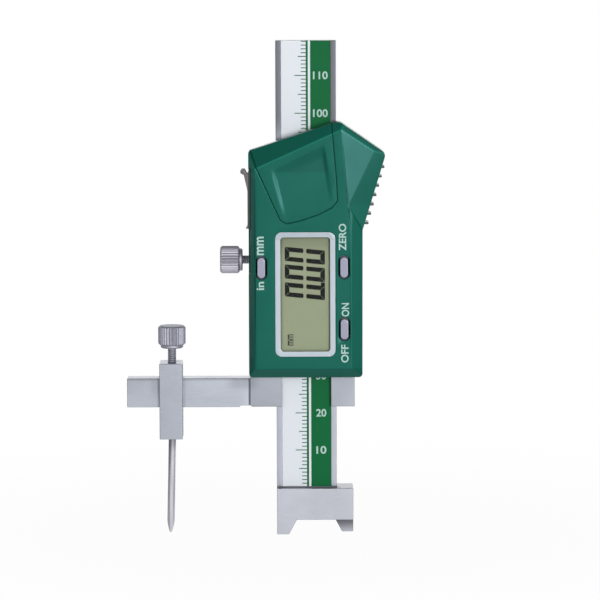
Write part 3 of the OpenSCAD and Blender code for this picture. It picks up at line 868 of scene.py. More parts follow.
@dataclass(frozen=True)
class Scoop:
    """Thumb scoop in a flat front: soft walls at both sides, a floor that runs out at either end.

    Its corners are places in XZ, in millimetres, and its depths are those of the floor beside the
    left and the right wall. `wall` and `run_out` are shares of its width and height, and `shaded`
    is how much painted shade the steep wall faces get through the seam mark, as the wall that faces
    away from the light. The solid's own hollow faces look forward, reach behind the front by more
    than `sunk`, start at the front and end below `hollow_top`.
    """

    front: float = -10.3
    low: tuple[tuple[float, float], ...] = ((-6.0, 84.9), (7.15, 89.9))
    high: tuple[tuple[float, float], ...] = ((-9.7, 98.9), (5.0, 105.6))
    depths: tuple[float, float] = (0.22, 0.6)
    wall: float = 0.085
    wall_faces: int = 8
    floor_faces: int = 6
    rows: int = 30
    run_out: float = 0.72
    shaded: float = 0.8
    forward: float = -0.8
    sunk: float = 0.1
    flush: float = 0.001
    hollow_top: float = 104.0

    def depth(self, across: float, up: float) -> float:
        """Depth at shares of the scoop's width and height, in millimetres."""
        side = min(1.0, across / self.wall, (1 - across) / self.wall)
        end = max(0.0, up - self.run_out) / (1 - self.run_out)
        short = max(0.0, 1 - up / self.run_out)
        rise = (1 - short * short) * (1 - end * end * (3 - 2 * end))
        left, right = self.depths
        return (left + (right - left) * across) * side * side * (3 - 2 * side) * rise

    def cut(self, form: bmesh.types.BMesh) -> None:
        """Puts the soft scoop in place of the solid's own hollow faces."""
        front = self.front * MM
        hollow = [face for face in form.faces if face.normal.y < self.forward
                  and max(v.co.y for v in face.verts) > front + self.sunk * MM
                  and min(v.co.y for v in face.verts) < front + self.flush * MM
                  and max(v.co.z for v in face.verts) < self.hollow_top * MM]
        bmesh.ops.delete(form, geom=hollow, context="FACES_ONLY")
        rim = [side for side in form.edges if len(side.link_faces) == 1]
        for side in [side for side in form.edges if not side.link_faces]:
            form.edges.remove(side)
        for vert in [vert for vert in form.verts if not vert.link_edges]:
            form.verts.remove(vert)
        places = [Vector((x * MM, front, z * MM)) for x, z in (*self.low, *self.high)]
        for vert in {vert for side in rim for vert in side.verts}:
            vert.co = min(places, key=lambda place: (place - vert.co).length)
        walls = [self.wall * i / self.wall_faces for i in range(self.wall_faces)]
        step = (1 - 2 * self.wall) / self.floor_faces
        floor = [self.wall + i * step for i in range(self.floor_faces + 1)]
        shares = walls + floor + [1 - share for share in reversed(walls)]
        shade = form.faces.layers.float["seam"]
        grid = []
        for j in range(self.rows + 1):
            up = j / self.rows
            left = places[0].lerp(places[2], up)
            right = places[1].lerp(places[3], up)
            row = []
            for across in shares:
                spot = left.lerp(right, across)
                spot.y = front + self.depth(across, up) * MM
                row.append(form.verts.new(spot))
            grid.append(row)
        for low, high in zip(grid, grid[1:]):
            for i in range(len(shares) - 1):
                face = form.faces.new([low[i], low[i + 1], high[i + 1], high[i]])
                fall = low[i].co.y + high[i].co.y - low[i + 1].co.y - high[i + 1].co.y
                steep = fall / (low[i + 1].co - low[i].co).length / 2
                # Painted shade on the steep wall that faces away from the light, carried in the
                # seam mark.
                face[shade] = self.shaded * max(0.0, steep)
        ring = [grid[0], [row[-1] for row in grid], grid[-1], [row[0] for row in grid]]
        for side in rim:
            self.follow(form, side, ring)
        bmesh.ops.remove_doubles(form, verts=form.verts, dist=WELD)
        form.normal_update()

    def follow(self, form: bmesh.types.BMesh, side: bmesh.types.BMEdge,
               borders: Sequence[Sequence[bmesh.types.BMVert]]) -> None:
        """Splits an edge of the rim where the border of the grid that lies on it has corners."""
        start, end = side.verts
        first = start.co.copy()
        last = end.co.copy()
        border = min(borders, key=lambda line: min(
            (line[0].co - first).length + (line[-1].co - last).length,
            (line[-1].co - first).length + (line[0].co - last).length))
        stops = sorted((vert.co - first).length for vert in border[1:-1])
        whole = (last - first).length
        here = start
        passed = 0.0
        for stop in stops:
            side, fresh = bmesh.utils.edge_split(side, here, (stop - passed) / (whole - passed))
            passed = stop
            here = fresh
            side = next(e for e in fresh.link_edges if end in e.verts)


def edges_to_round(form: bmesh.types.BMesh, angle: float, crease: float,
                   broad: float = 4.0) -> list[bmesh.types.BMEdge]:
    """Finds the edges of a solid that get a rounding.

    Args:
        form: the solid.
        angle: edges that turn by more than this many degrees are rounded.
        crease: where above 0, edges between broad facets are rounded from this many degrees on,
            and edges that another part of the solid faces stay sharp.
        broad: area from which on a facet is broad, in square millimetres.

    Returns:
        The edges.
    """
    sharp = []
    for side in form.edges:
        if len(side.link_faces) != 2:
            continue
        turn = turn_of(side)
        facets = min(face.calc_area() for face in side.link_faces) > broad * MM * MM
        if turn > angle or (facets and 0 < crease < turn):
            sharp.append(side)
    return in_the_open(form, sharp) if crease else sharp


def beside_partner(sides: Sequence[bmesh.types.BMEdge], partner: str, steep: float,
                   gap: float = 0.15) -> list[bmesh.types.BMEdge]:
    """Finds the edges that form a seam with a neighbour.

    Args:
        sides: the edges to look at.
        partner: the neighbour's CAD node.
        steep: edges that turn by more than this many degrees count.
        gap: how near the neighbour has to be, in millimetres.

    Returns:
        The edges.
    """
    other = bmesh.new()
    other.from_mesh(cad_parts[partner].data)
    tree = BVHTree.FromBMesh(other)
    other.free()
    return [side for side in sides
            if tree.find_nearest(middle_of(side))[3] < gap * MM and turn_of(side) > steep]


def rounded_solid(node: str, name: str, finish: Finish, edge: float, angle: float = 24.0,
                  segments: int = 2, crease: float = 0.0, corners: Sequence[Point] = (),
                  partner: str = "", grow: tuple[float, float] = (0.0, 0.0),
                  scoop: Scoop | None = None) -> bpy.types.Object:
    """Copies a CAD node with its sharp edges rounded.

    Args:
        node: the CAD node.
        name: the new piece's name.
        finish: its finish.
        edge: width of the rounding, in millimetres.
        angle: edges that turn by more than this many degrees are rounded.
        segments: faces across a rounding.
        crease: where above 0, edges between broad facets are rounded from this many degrees on.
        corners: places that the nearest corner of the solid is brought to, in millimetres.
        partner: a CAD node that shares a seam with this one.
        grow: how far the outline is widened to each side and to either end, in millimetres.
        scoop: a scoop to shape softly, where the solid has one.

    Returns:
        The piece. The attribute `edge` marks its rounded faces, or, where crease is above 0, only
        its creases that face upward, which then carry a painted highlight. The attribute `seam`
        marks its edge along the partner, which carries painted shade.
    """
    flat = math.radians(0.6)
    steep = 60.0
    upward = 0.1
    lit_reach = 0.7
    drawn_smooth = math.radians(50)
    form = bmesh.new()
    form.from_mesh(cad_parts[node].data)
    mark = form.faces.layers.float.new("edge")
    seam_mark = form.faces.layers.float.new("seam")
    bmesh.ops.remove_doubles(form, verts=form.verts, dist=WELD)
    bmesh.ops.dissolve_limit(form, angle_limit=flat, verts=form.verts, edges=form.edges)
    for place in corners:
        target = Vector(place) * MM
        min(form.verts, key=lambda v: (v.co - target).length).co = target
    for axis, wider in zip((0, 2), grow):
        low = min(v.co[axis] for v in form.verts)
        high = max(v.co[axis] for v in form.verts)
        for vert in form.verts:
            vert.co[axis] += wider * MM * (2 * vert.co[axis] - low - high) / (high - low)
    form.normal_update()
    if scoop:
        scoop.cut(form)
    sharp = edges_to_round(form, angle, crease)
    lit = lines_of([side for side in sharp if turn_of(side) < steep
                    and sum(face.normal.z for face in side.link_faces) > upward])
    seam = lines_of(beside_partner(sharp, partner, steep)) if partner else []
    bmesh.ops.triangulate(form, faces=form.faces[:])
    made = bmesh.ops.bevel(form, geom=sharp, offset=edge * MM, offset_type="OFFSET",
                           segments=segments, profile=0.5, affect="EDGES", clamp_overlap=False)
    # Upward-facing creases get a painted-highlight mark, faces along the partner a painted-shade
    # mark.
    for face in made["faces"]:
        face[mark] = 1.0 if not crease or beside(face, lit, edge * lit_reach * MM) else 0.0
        face[seam_mark] = 1.0 if beside(face, seam, edge * MM) else 0.0
    for face in form.faces:
        face.smooth = True
    for side in form.edges:
        side.smooth = len(side.link_faces) == 2 and side.calc_face_angle(0.0) < drawn_smooth
    return evened(piece_from(mesh_of(form, name), name, finish))


def turned_mesh(profile: Sequence[tuple[float, float]], segments: int = 64) -> bpy.types.Mesh:
    """Turns a profile about Z.

    Args:
        profile: radius and height of each point, in millimetres; it starts and ends on the axis.
        segments: number of faces round.

    Returns:
        The closed mesh, smooth except where its profile turns sharply.
    """
    drawn_smooth = math.radians(35)
    form = bmesh.new()
    rings = []
    for radius, height in profile:
        turns = [2 * math.pi * i / segments for i in range(segments)] if radius else [0.0]
        rings.append([form.verts.new((radius * math.cos(turn) * MM, radius * math.sin(turn) * MM,
                                      height * MM)) for turn in turns])
    for low, high in zip(rings, rings[1:]):
        for i in range(segments):
            j = (i + 1) % segments
            around = [low[i % len(low)], low[j % len(low)],
                      high[j % len(high)], high[i % len(high)]]
            form.faces.new(list(dict.fromkeys(around)))
    bmesh.ops.recalc_face_normals(form, faces=form.faces)
    for face in form.faces:
        face.smooth = True
    for side in form.edges:
        side.smooth = side.calc_face_angle(0.0) < drawn_smooth
    return mesh_of(form, "turned")


def words_mesh(words: str, width: float, height: float, reading: Reading, centre: Point,
               raised: float = 0.02, weight: float = 0.022) -> bpy.types.Mesh:
    """Lettering as a thin raised mesh.

    Args:
        words: the lettering.
        width: its length along its line, in millimetres.
        height: its height across its line.
        reading: the way that it reads.
        centre: middle of its back, in millimetres.
        raised: how far it stands out.
        weight: how much its strokes are thickened, as a share of the letters' size.

    Returns:
        The mesh, in place.
    """
    curve = bpy.data.curves.new("letters", "FONT")
    curve.body = words
    curve.offset = weight
    curve.resolution_u = 5
    curve.extrude = 0.5
    text = bpy.data.objects.new("letters", curve)
    bpy.context.scene.collection.objects.link(text)
    view = bpy.context.evaluated_depsgraph_get()
    mesh = bpy.data.meshes.new_from_object(text.evaluated_get(view))
    bpy.data.objects.remove(text)
    low = [min(v.co[i] for v in mesh.vertices) for i in range(3)]
    high = [max(v.co[i] for v in mesh.vertices) for i in range(3)]
    middle = Vector(((low[0] + high[0]) / 2, (low[1] + high[1]) / 2, low[2]))
    size = (width * MM / (high[0] - low[0]), height * MM / (high[1] - low[1]), raised * MM)
    mesh.transform(Matrix.Diagonal((*size, 1.0)) @ Matrix.Translation(-middle))
    mesh.transform(Matrix.Translation(Vector(centre) * MM) @ reading.matrix())
    return mesh


class ShapeTree(NodeBuilder):
    """A Geometry Nodes tree with named inputs, run once on a base mesh."""

    def __init__(self, name: str, inputs: dict[str, str]) -> None:
        """Starts the tree.

        Args:
            name: the tree's name.
            inputs: each input's name and socket type.
        """
        super().__init__(bpy.data.node_groups.new(name, "GeometryNodeTree"))
        face = self.tree.interface
        face.new_socket("Geometry", in_out="OUTPUT", socket_type="NodeSocketGeometry")
        face.new_socket("Geometry", in_out="INPUT", socket_type="NodeSocketGeometry")
        self.keys = {label: face.new_socket(label, in_out="INPUT", socket_type=kind).identifier
                     for label, kind in {**inputs, "Finish": "NodeSocketMaterial"}.items()}
        self.source = self.node("NodeGroupInput")

    def value(self, label: str) -> Number:
        """The named input as a Number."""
        return Number(self, self.source.outputs[label])

    def vector(self, x: Number | float, y: Number | float,
               z: Number | float) -> bpy.types.NodeSocket:
        """A vector from three numbers."""
        return self.node("ShaderNodeCombineXYZ", inputs={0: x, 1: y, 2: z}).outputs[0]

    def moved(self, shape: bpy.types.NodeSocket,
              offset: bpy.types.NodeSocket) -> bpy.types.NodeSocket:
        """A shape moved by an offset."""
        return self.node("GeometryNodeTransform", inputs={
            "Geometry": shape, "Translation": offset}).outputs[0]

    def joined(self, *shapes: bpy.types.NodeSocket) -> bpy.types.NodeSocket:
        """Several shapes as one."""
        made = self.node("GeometryNodeJoinGeometry")
        for shape in shapes:
            self.tree.links.new(shape, made.inputs[0])
        return made.outputs[0]

    def close(self, shape: bpy.types.NodeSocket) -> "ShapeTree":
        """Ends the tree in Realize Instances and Set Material and returns it."""
        real = self.node("GeometryNodeRealizeInstances", inputs={"Geometry": shape})
        dressed = self.node("GeometryNodeSetMaterial", inputs={
            "Geometry": real.outputs[0], "Material": self.source.outputs["Finish"]})
        self.node("NodeGroupOutput", inputs={"Geometry": dressed.outputs[0]})
        return self

    def run(self, base: bpy.types.Mesh, name: str, finish: Finish,
            values: dict) -> bpy.types.Object:
        """Runs the tree on a base mesh.

        Args:
            base: the mesh that the tree starts from.
            name: the piece's name.
            finish: the material input.
            values: the other inputs by name, lengths in metres.

        Returns:
            The piece, with a plain mesh and no modifier.
        """
        piece = piece_from(base, name, finish)
        modifier = piece.modifiers.new(self.tree.name, "NODES")
        modifier.node_group = self.tree
        modifier[self.keys["Finish"]] = finish.material()
        for label, value in values.items():
            modifier[self.keys[label]] = value
        return baked(piece)


def knurl_tree() -> ShapeTree:
    """Straight-knurled head about Z, with a chamfer turned over both ends of its knurls."""
    faces_per_knurl = 4
    bands = 32
    tree = ShapeTree("straight knurl", {
        "Knurls": "NodeSocketInt", "Radius": "NodeSocketFloat", "Length": "NodeSocketFloat",
        "Groove": "NodeSocketFloat", "Chamfer": "NodeSocketFloat"})
    rod = tree.node("GeometryNodeMeshCylinder", {"fill_type": "NGON"}, {
        "Vertices": tree.value("Knurls") * faces_per_knurl, "Side Segments": bands,
        "Radius": 1.0, "Depth": 1.0})
    spot = tree.node("ShaderNodeSeparateXYZ", inputs={
        0: tree.node("GeometryNodeInputPosition").outputs[0]})
    x, y, z = (Number(tree, out) for out in spot.outputs)
    length = tree.value("Length")
    radius = tree.value("Radius")
    height = (z + 0.5) * length
    turns = x.math("ARCTAN2", y, x) * tree.value("Knurls") / (2 * math.pi)
    wave = turns.math("PINGPONG", turns, 0.5) * 2
    knurled = radius - wave * tree.value("Groove")
    chamfered = radius - tree.value("Chamfer") + height.least(length - height)
    reach = knurled.least(chamfered)
    shaped = tree.node("GeometryNodeSetPosition", inputs={
        "Geometry": rod.outputs["Mesh"], "Position": tree.vector(x * reach, y * reach, height)})
    flat = tree.node("GeometryNodeSetShadeSmooth", inputs={
        "Geometry": shaped.outputs[0], "Shade Smooth": False})
    return tree.close(tree.joined(tree.source.outputs["Geometry"], flat.outputs[0]))


def screw_tree() -> ShapeTree:
    """A slotted screw on every vertex of the base mesh, its head's face on the vertex.

    The upper part of the head, its crown, is a flat cone and the rest a straight rim. The shank
    starts inside the head.
    """
    crown = 0.3
    taper = 0.9
    sunk = 0.6
    head_faces = 40
    shank_faces = 24
    tree = ShapeTree("slotted screws", {
        "Shank Radius": "NodeSocketFloat", "Shank Length": "NodeSocketFloat",
        "Head Radius": "NodeSocketFloat", "Head Height": "NodeSocketFloat",
        "Slot Width": "NodeSocketFloat", "Turn": "NodeSocketVector"})
    head_r = tree.value("Head Radius")
    head_h = tree.value("Head Height")
    shank_l = tree.value("Shank Length")
    head = tree.node("GeometryNodeMeshCone", {"fill_type": "NGON"}, {
        "Vertices": head_faces, "Radius Top": head_r * taper, "Radius Bottom": head_r,
        "Depth": head_h * crown})
    rim = tree.node("GeometryNodeMeshCylinder", {"fill_type": "NGON"}, {
        "Vertices": head_faces, "Radius": head_r, "Depth": head_h * (1 - crown)})
    whole = tree.joined(
        tree.moved(head.outputs["Mesh"], tree.vector(0.0, 0.0, head_h * -crown)),
        tree.moved(rim.outputs["Mesh"], tree.vector(0.0, 0.0, head_h * (-(1 + crown) / 2))))
    slot = tree.node("GeometryNodeMeshCube", inputs={
        "Size": tree.vector(head_r * 3, tree.value("Slot Width"), head_h)})
    cut = tree.node("GeometryNodeMeshBoolean", {"operation": "DIFFERENCE", "solver": "EXACT"}, {
        "Mesh 1": whole, "Mesh 2": slot.outputs["Mesh"]})
    shank = tree.node("GeometryNodeMeshCylinder", {"fill_type": "NGON"}, {
        "Vertices": shank_faces, "Radius": tree.value("Shank Radius"), "Depth": shank_l})
    depth = tree.vector(0.0, 0.0, shank_l * -0.5 - head_h * sunk)
    screw = tree.joined(cut.outputs["Mesh"], tree.moved(shank.outputs["Mesh"], depth))
    placed = tree.node("GeometryNodeInstanceOnPoints", inputs={
        "Points": tree.source.outputs["Geometry"], "Instance": screw,
        "Rotation": tree.source.outputs["Turn"]})
    return tree.close(placed.outputs[0])


class SubAssembly:
    """Pieces that belong together. A subclass builds and dresses them in `build`."""

    def keep(self, piece: bpy.types.Object, body: str, slot: str, *nodes: str) -> None:
        """Ties a piece to the frame.

        Args:
            piece: the finished piece.
            body: the CAD body that it rides on.
            slot: the material slot of its finish; not used.
            *nodes: the CAD nodes that it stands for.
        """
        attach(piece, body)
        if nodes:
            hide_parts(*nodes)
        log.info("%s rides on %s, %d faces", piece.name, body, len(piece.data.polygons))

    def rounded(self, node: str, name: str, finish: Finish, edge: float, body: str, slot: str,
                **shape: object) -> None:
        """Puts a copy with rounded edges in a CAD node's place.

        Args:
            node: the CAD node.
            name: the new piece's name.
            finish: its finish.
            edge: width of the rounding, in millimetres.
            body: the CAD body that it rides on.
            slot: the material slot of its finish.
            **shape: the further arguments of `rounded_solid`.
        """
        self.keep(rounded_solid(node, name, finish, edge, **shape), body, slot, node)

    def dress(self, node: str, finish: Finish) -> None:
        """Gives a CAD node, whose shape is kept, its finish."""
        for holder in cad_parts[node].material_slots:
            holder.material = finish.material()
        log.info("%s keeps its CAD shape, finish %s", node, finish.name)


@dataclass
class Screws(SubAssembly):
    """Slotted screws of one kind that ride on one body.

    `shank` and `head` are each a radius and a length.
    """

    node: str
    body: str
    places: Sequence[Point]
    facing: Facing
    shank: tuple[float, float]
    head: tuple[float, float]
    slot_width: float = 0.4

    def build(self, tree: ShapeTree) -> None:
        """Sets a screw on every place."""
        base = bpy.data.meshes.new(self.node)
        base.from_pydata([[c * MM for c in place] for place in self.places], [], [])
        piece = tree.run(base, f"{self.node}_slotted", BLACK_STEEL, {
            "Shank Radius": self.shank[0] * MM, "Shank Length": self.shank[1] * MM,
            "Head Radius": self.head[0] * MM, "Head Height": self.head[1] * MM,
            "Slot Width": self.slot_width * MM, "Turn": self.facing.turns()})
        self.keep(piece, self.body, "black_steel", self.node)


@dataclass
class Thumbscrew(SubAssembly):
    """Thumbscrew with a straight-knurled head, a turned collar and a thread in its neck."""

    node: str
    body: str
    start: Point
    facing: Facing
    neck_l: float
    finish: Finish
    neck_r: float = 1.15
    collar_r: float = 3.0
    collar_l: float = 0.8
    head_r: float = 3.65
    head_l: float = 5.15
    chamfer: float = 0.45
    knurls: int = 30
    groove: float = 0.24
    core_r: float = 2.7
    thread_pitch: float = 0.5
    thread_depth: float = 0.12
    broken_edge: float = 0.25

    def profile(self) -> list[tuple[float, float]]:
        """Half section of neck, collar and the head's flat core, the head's foot at height 0."""
        foot = -self.neck_l - self.collar_l
        threads = int(self.neck_l / self.thread_pitch)
        points = [(0, foot), (self.neck_r - 0.2, foot)]
        for i in range(threads):
            low = foot + 0.1 + i * self.thread_pitch
            points += [(self.neck_r, low + self.thread_pitch * 0.25),
                       (self.neck_r - self.thread_depth, low + self.thread_pitch * 0.75)]
        under = -self.collar_l
        end = self.head_l
        return points + [
            (self.neck_r, under - 0.02), (self.neck_r, under),
            (self.collar_r - self.broken_edge, under), (self.collar_r, under + self.broken_edge),
            (self.collar_r, -0.05), (self.collar_r - 0.3, 0.02), (self.core_r, 0.05),
            (self.core_r, end - 0.01), (self.core_r - 0.15, end), (0, end)]

    def build(self, tree: ShapeTree) -> None:
        """Joins the turned body and the knurled head and sets them on the screw's axis."""
        piece = tree.run(turned_mesh(self.profile()), f"{self.node}_knurled", self.finish, {
            "Knurls": self.knurls, "Radius": self.head_r * MM, "Length": (self.head_l - 0.005) * MM,
            "Groove": self.groove * MM, "Chamfer": self.chamfer * MM})
        lift = Matrix.Translation((0, 0, (self.neck_l + self.collar_l) * MM))
        turn = Matrix.Rotation(self.facing.turns()[1], 4, "Y")
        piece.data.transform(Matrix.Translation(Vector(self.start) * MM) @ turn @ lift)
        self.keep(piece, self.body, "plated_steel", self.node)


@dataclass
class BeamAndFoot(SubAssembly):
    """Steel beam on its foot block, with the printed scale and the end stop.

    A number's size is its width and height; one of three digits is wider by a factor of
    `three_digits`. Numbers stand out by `raised` from `scale_front`.
    """

    scale_front: float = -1.73
    scale_zero: float = 12.4
    numbers: Sequence[int] = tuple(range(10, 120, 10))
    number_size: tuple[float, float] = (2.7, 2.1)
    number_x: float = 3.9
    three_digits: float = 1.45
    raised: float = 0.015

    def scale(self) -> PrintedScale:
        """Finish of the printed film."""
        return PrintedScale("printed scale", linear(2, 106, 57), linear(243, 248, 255),
                            self.scale_zero)

    def numerals(self) -> bpy.types.Object:
        """Numbers of the graduations, one mesh."""
        width, height = self.number_size
        meshes = []
        for number in self.numbers:
            wide = width * (self.three_digits if number > 99 else 1.0)
            place = (self.number_x, self.scale_front, self.scale_zero + number)
            meshes.append(words_mesh(str(number), wide, height, Reading.UPRIGHT, place,
                                     self.raised))
        return piece_from(merged(meshes, "numerals"), "scale_numerals", LETTER_INK)

    def build(self) -> None:
        """Builds and dresses the group."""
        self.rounded("beam", "beam_ground", BEAM_STEEL, 0.12, "base", "beam_steel")
        self.rounded("foot_block", "foot_block_ground", FOOT_STEEL, 0.16, "base", "ground_steel")
        self.rounded("end_stop_plate", "end_stop_ground", GROUND_STEEL, 0.12, "base",
                     "ground_steel")
        self.rounded("scale_label", "scale_film", self.scale(), 0.03, "base", "scale_print",
                     segments=1)
        self.keep(self.numerals(), "base", "scale_print")
        self.dress("scale_circuit_board", SCALE_BOARD)


@dataclass
class SliderFrame(SubAssembly):
    """Steel slider with its side arm, the gib inside it and the electronics that it carries.

    The groove between arm and body has its floor at `groove_floor` and its corners at these
    places along X and Z.
    """

    groove_floor: float = -2.38
    groove_sides: tuple[float, float] = (-15.35, -15.0)
    groove_ends: tuple[float, float] = (34.55, 41.9)

    def build(self) -> None:
        """Builds and dresses the group."""
        groove = [(x, self.groove_floor, z) for x in self.groove_sides for z in self.groove_ends]
        self.rounded("slider_frame", "slider_frame_ground", SLIDER_STEEL, 0.14, "slider",
                     "ground_steel", corners=groove)
        for node, finish in (
                ("gib_strip", BRONZE), ("circuit_board", BOARD_GREEN),
                ("controller_chip", BLACK_PLASTIC), ("switch_blocks", BLACK_PLASTIC),
                ("display_holder", WHITE_PLASTIC), ("display_contact_strips", RUBBER),
                ("battery_cell", CELL_STEEL), ("battery_contacts", BRONZE),
                ("data_port_contacts", BLACK_PLASTIC)):
            self.dress(node, finish)


@dataclass
class Housing(SubAssembly):
    """Green moulded housing with its dark rear half, battery cover and port cover.

    Each word has its length, its height and its middle along X and Z, and stands out by `raised`
    from `sunk` behind the face. A corner of the facets at the right shoulder is brought to
    `facet_corner`.
    """

    edge: float = 0.22
    face: float = -10.3
    raised: float = 0.025
    sunk: float = 0.005
    facet_corner: Point = (18.05, -8.65, 102.75)
    cover_grow: tuple[float, float] = (0.06, 0.06)
    words: tuple[tuple[str, float, float, float, float], ...] = (
        ("mm", 4.9, 1.85, -12.07, 78.05), ("in", 2.2, 1.95, -12.08, 67.45),
        ("ZERO", 7.1, 1.99, 9.57, 80.3), ("ON", 3.6, 2.0, 10.3, 61.05),
        ("OFF", 4.75, 2.0, 10.13, 49.4))

    def lettering(self) -> bpy.types.Object:
        """Unit, zero and on/off words beside the keys, as one mesh."""
        back = self.face + self.sunk
        meshes = [words_mesh(word, width, height, Reading.UPWARD, (x, back, z), self.raised)
                  for word, width, height, x, z in self.words]
        return piece_from(merged(meshes, "lettering"), "key_lettering", LETTER_INK)

    def build(self) -> None:
        """Builds and dresses the group."""
        self.rounded("housing_shell", "housing_shell_moulded", GREEN_PLASTIC, self.edge, "slider",
                     "green_plastic", angle=20.0, crease=4.0, corners=[self.facet_corner],
                     partner="battery_cover")
        self.rounded("housing_back", "housing_back_moulded", DARK_PLASTIC, 0.15, "slider",
                     "dark_plastic")
        self.rounded("battery_cover", "battery_cover_moulded", GREEN_PLASTIC, self.edge,
                     "battery_door", "green_plastic", angle=20.0, crease=12.0,
                     partner="housing_shell", grow=self.cover_grow, scoop=Scoop())
        self.rounded("port_cover", "port_cover_moulded", GREY_COVER, 0.23, "port_door",
                     "grey_cover")
        self.keep(self.lettering(), "slider", "button_grey")


@dataclass
class Display(SubAssembly):
    """Display in its silver bezel: glass, clear pane and the reading in dark segments.

    The digits read upward: their tops are at `digit_top` and their feet at `digit_foot` along X,
    and they start at `digit_starts` along Z. The decimal point has its gap to the second digit,
    its width and its height. The unit has its length, its height and its middle. Both are `ink`
    thick, and the digits' front is by `lift` before the glass.
    """

    centre: tuple[float, float] = (-0.26, 65.13)
    window: tuple[float, float] = (13.1, 30.3)
    glass_front: float = -9.2
    pane: tuple[float, float] = (-9.93, -9.7)
    pane_corner: float = 0.8
    ink: float = 0.02
    lift: float = 0.03
    digit_top: float = -5.65
    digit_foot: float = 4.92
    digit_starts: Sequence[float] = (63.6, 68.35, 73.0)
    digit_w: float = 3.75
    stroke: float = 1.2
    slant: float = 0.1
    gap: float = 0.06
    waist: float = 0.5
    waist_tip: float = 0.32
    dot: tuple[float, float, float] = (0.62, 1.0, 1.05)
    reading_shift: float = 0.1
    unit_size: tuple[float, float] = (2.95, 1.57)
    unit_middle: tuple[float, float] = (-4.2, 52.95)

    def segments(self) -> list[list[tuple[float, float]]]:
        """The six lit segments of a nought, as outlines of width and height from 0."""
        w = self.digit_w
        h = self.digit_foot - self.digit_top
        s = self.stroke
        g = self.gap
        m = h / 2
        top = [(g, h), (w - g, h), (w - s - g * 0.3, h - s), (s + g * 0.3, h - s)]
        low = [(x, h - y) for x, y in top]
        left_high = [(0, h - g), (s, h - s - g), (s, m + self.waist), (s / 2, m + self.waist_tip),
                     (0, m + self.waist)]
        left_low = [(x, h - y) for x, y in left_high]
        right_high = [(w - x, y) for x, y in left_high]
        right_low = [(w - x, y) for x, y in left_low]
        return [top, low, left_high, left_low, right_high, right_low]

    def reading(self) -> bpy.types.Object:
        """The reading 0.00 and its unit, reading upward, as one thin mesh on the glass."""
        form = bmesh.new()
        shapes = []
        for start in self.digit_starts:
            shapes += [[(x + start, y) for x, y in outline] for outline in self.segments()]
        space, dot_w, dot_h = self.dot
        dot = self.digit_starts[1] - space
        left = dot - dot_w / 2
        right = dot + dot_w / 2
        shapes.append([(left, 0), (right, 0), (right, dot_h), (left, dot_h)])
        front = (self.glass_front - self.lift) * MM
        for outline in shapes:
            points = [((self.digit_foot - y) * MM, front,
                       (x + y * self.slant - self.reading_shift) * MM) for x, y in outline]
            face = form.faces.new([form.verts.new(p) for p in points])
            face.normal_update()
            if face.normal.y > 0:
                face.normal_flip()
        thickened(form, self.ink)
        x, z = self.unit_middle
        unit = words_mesh("mm", *self.unit_size, Reading.UPWARD, (x, self.glass_front - 0.01, z),
                          self.ink, weight=0.012)
        form.from_mesh(unit)
        bpy.data.meshes.remove(unit)
        return piece_from(mesh_of(form, "reading"), "display_reading", SEGMENT_INK)

    def clear_pane(self) -> bpy.types.Object:
        """Thin pane behind the bezel, its corners rounded."""
        w, h = (size / 2 * MM for size in self.window)
        x0, z0 = (c * MM for c in self.centre)
        r = self.pane_corner * MM
        corners = [(x0 + sx * (w - r), z0 + sz * (h - r), start)
                   for sx, sz, start in ((1, 1, 0), (-1, 1, 90), (-1, -1, 180), (1, -1, 270))]
        front, back = self.pane
        form = bmesh.new()
        ring = []
        for x, z, start in corners:
            for step in (0, 22.5, 45, 67.5, 90):
                turn = math.radians(start + step)
                ring.append(form.verts.new((x + r * math.cos(turn), front * MM,
                                            z + r * math.sin(turn))))
        form.faces.new(ring)
        thickened(form, back - front)
        return piece_from(mesh_of(form, "pane"), "display_pane", PANE)

    def build(self) -> None:
        """Builds and dresses the group."""
        half = (self.window[0] / 2, self.window[1] / 2)
        self.dress("display_glass",
                   DisplayGlass("display glass", linear(160, 170, 138), self.centre, half))
        self.rounded("display_bezel", "display_bezel_lacquered", SILVER_BEZEL, 0.14, "slider",
                     "silver_bezel", segments=3)
        self.keep(self.clear_pane(), "slider", "clear_window", "display_window")
        self.keep(self.reading(), "slider", "display")


@dataclass
class Keys(SubAssembly):
    """The three oval keys with rounded tops."""

    edge: float = 0.2

    def build(self) -> None:
        """Builds and dresses the group."""
        for key in ("mode", "zero", "power"):
            self.rounded(f"{key}_button", f"{key}_key_domed", KEY_GREY, self.edge, f"{key}_key",
                         "button_grey", angle=30.0, segments=3)


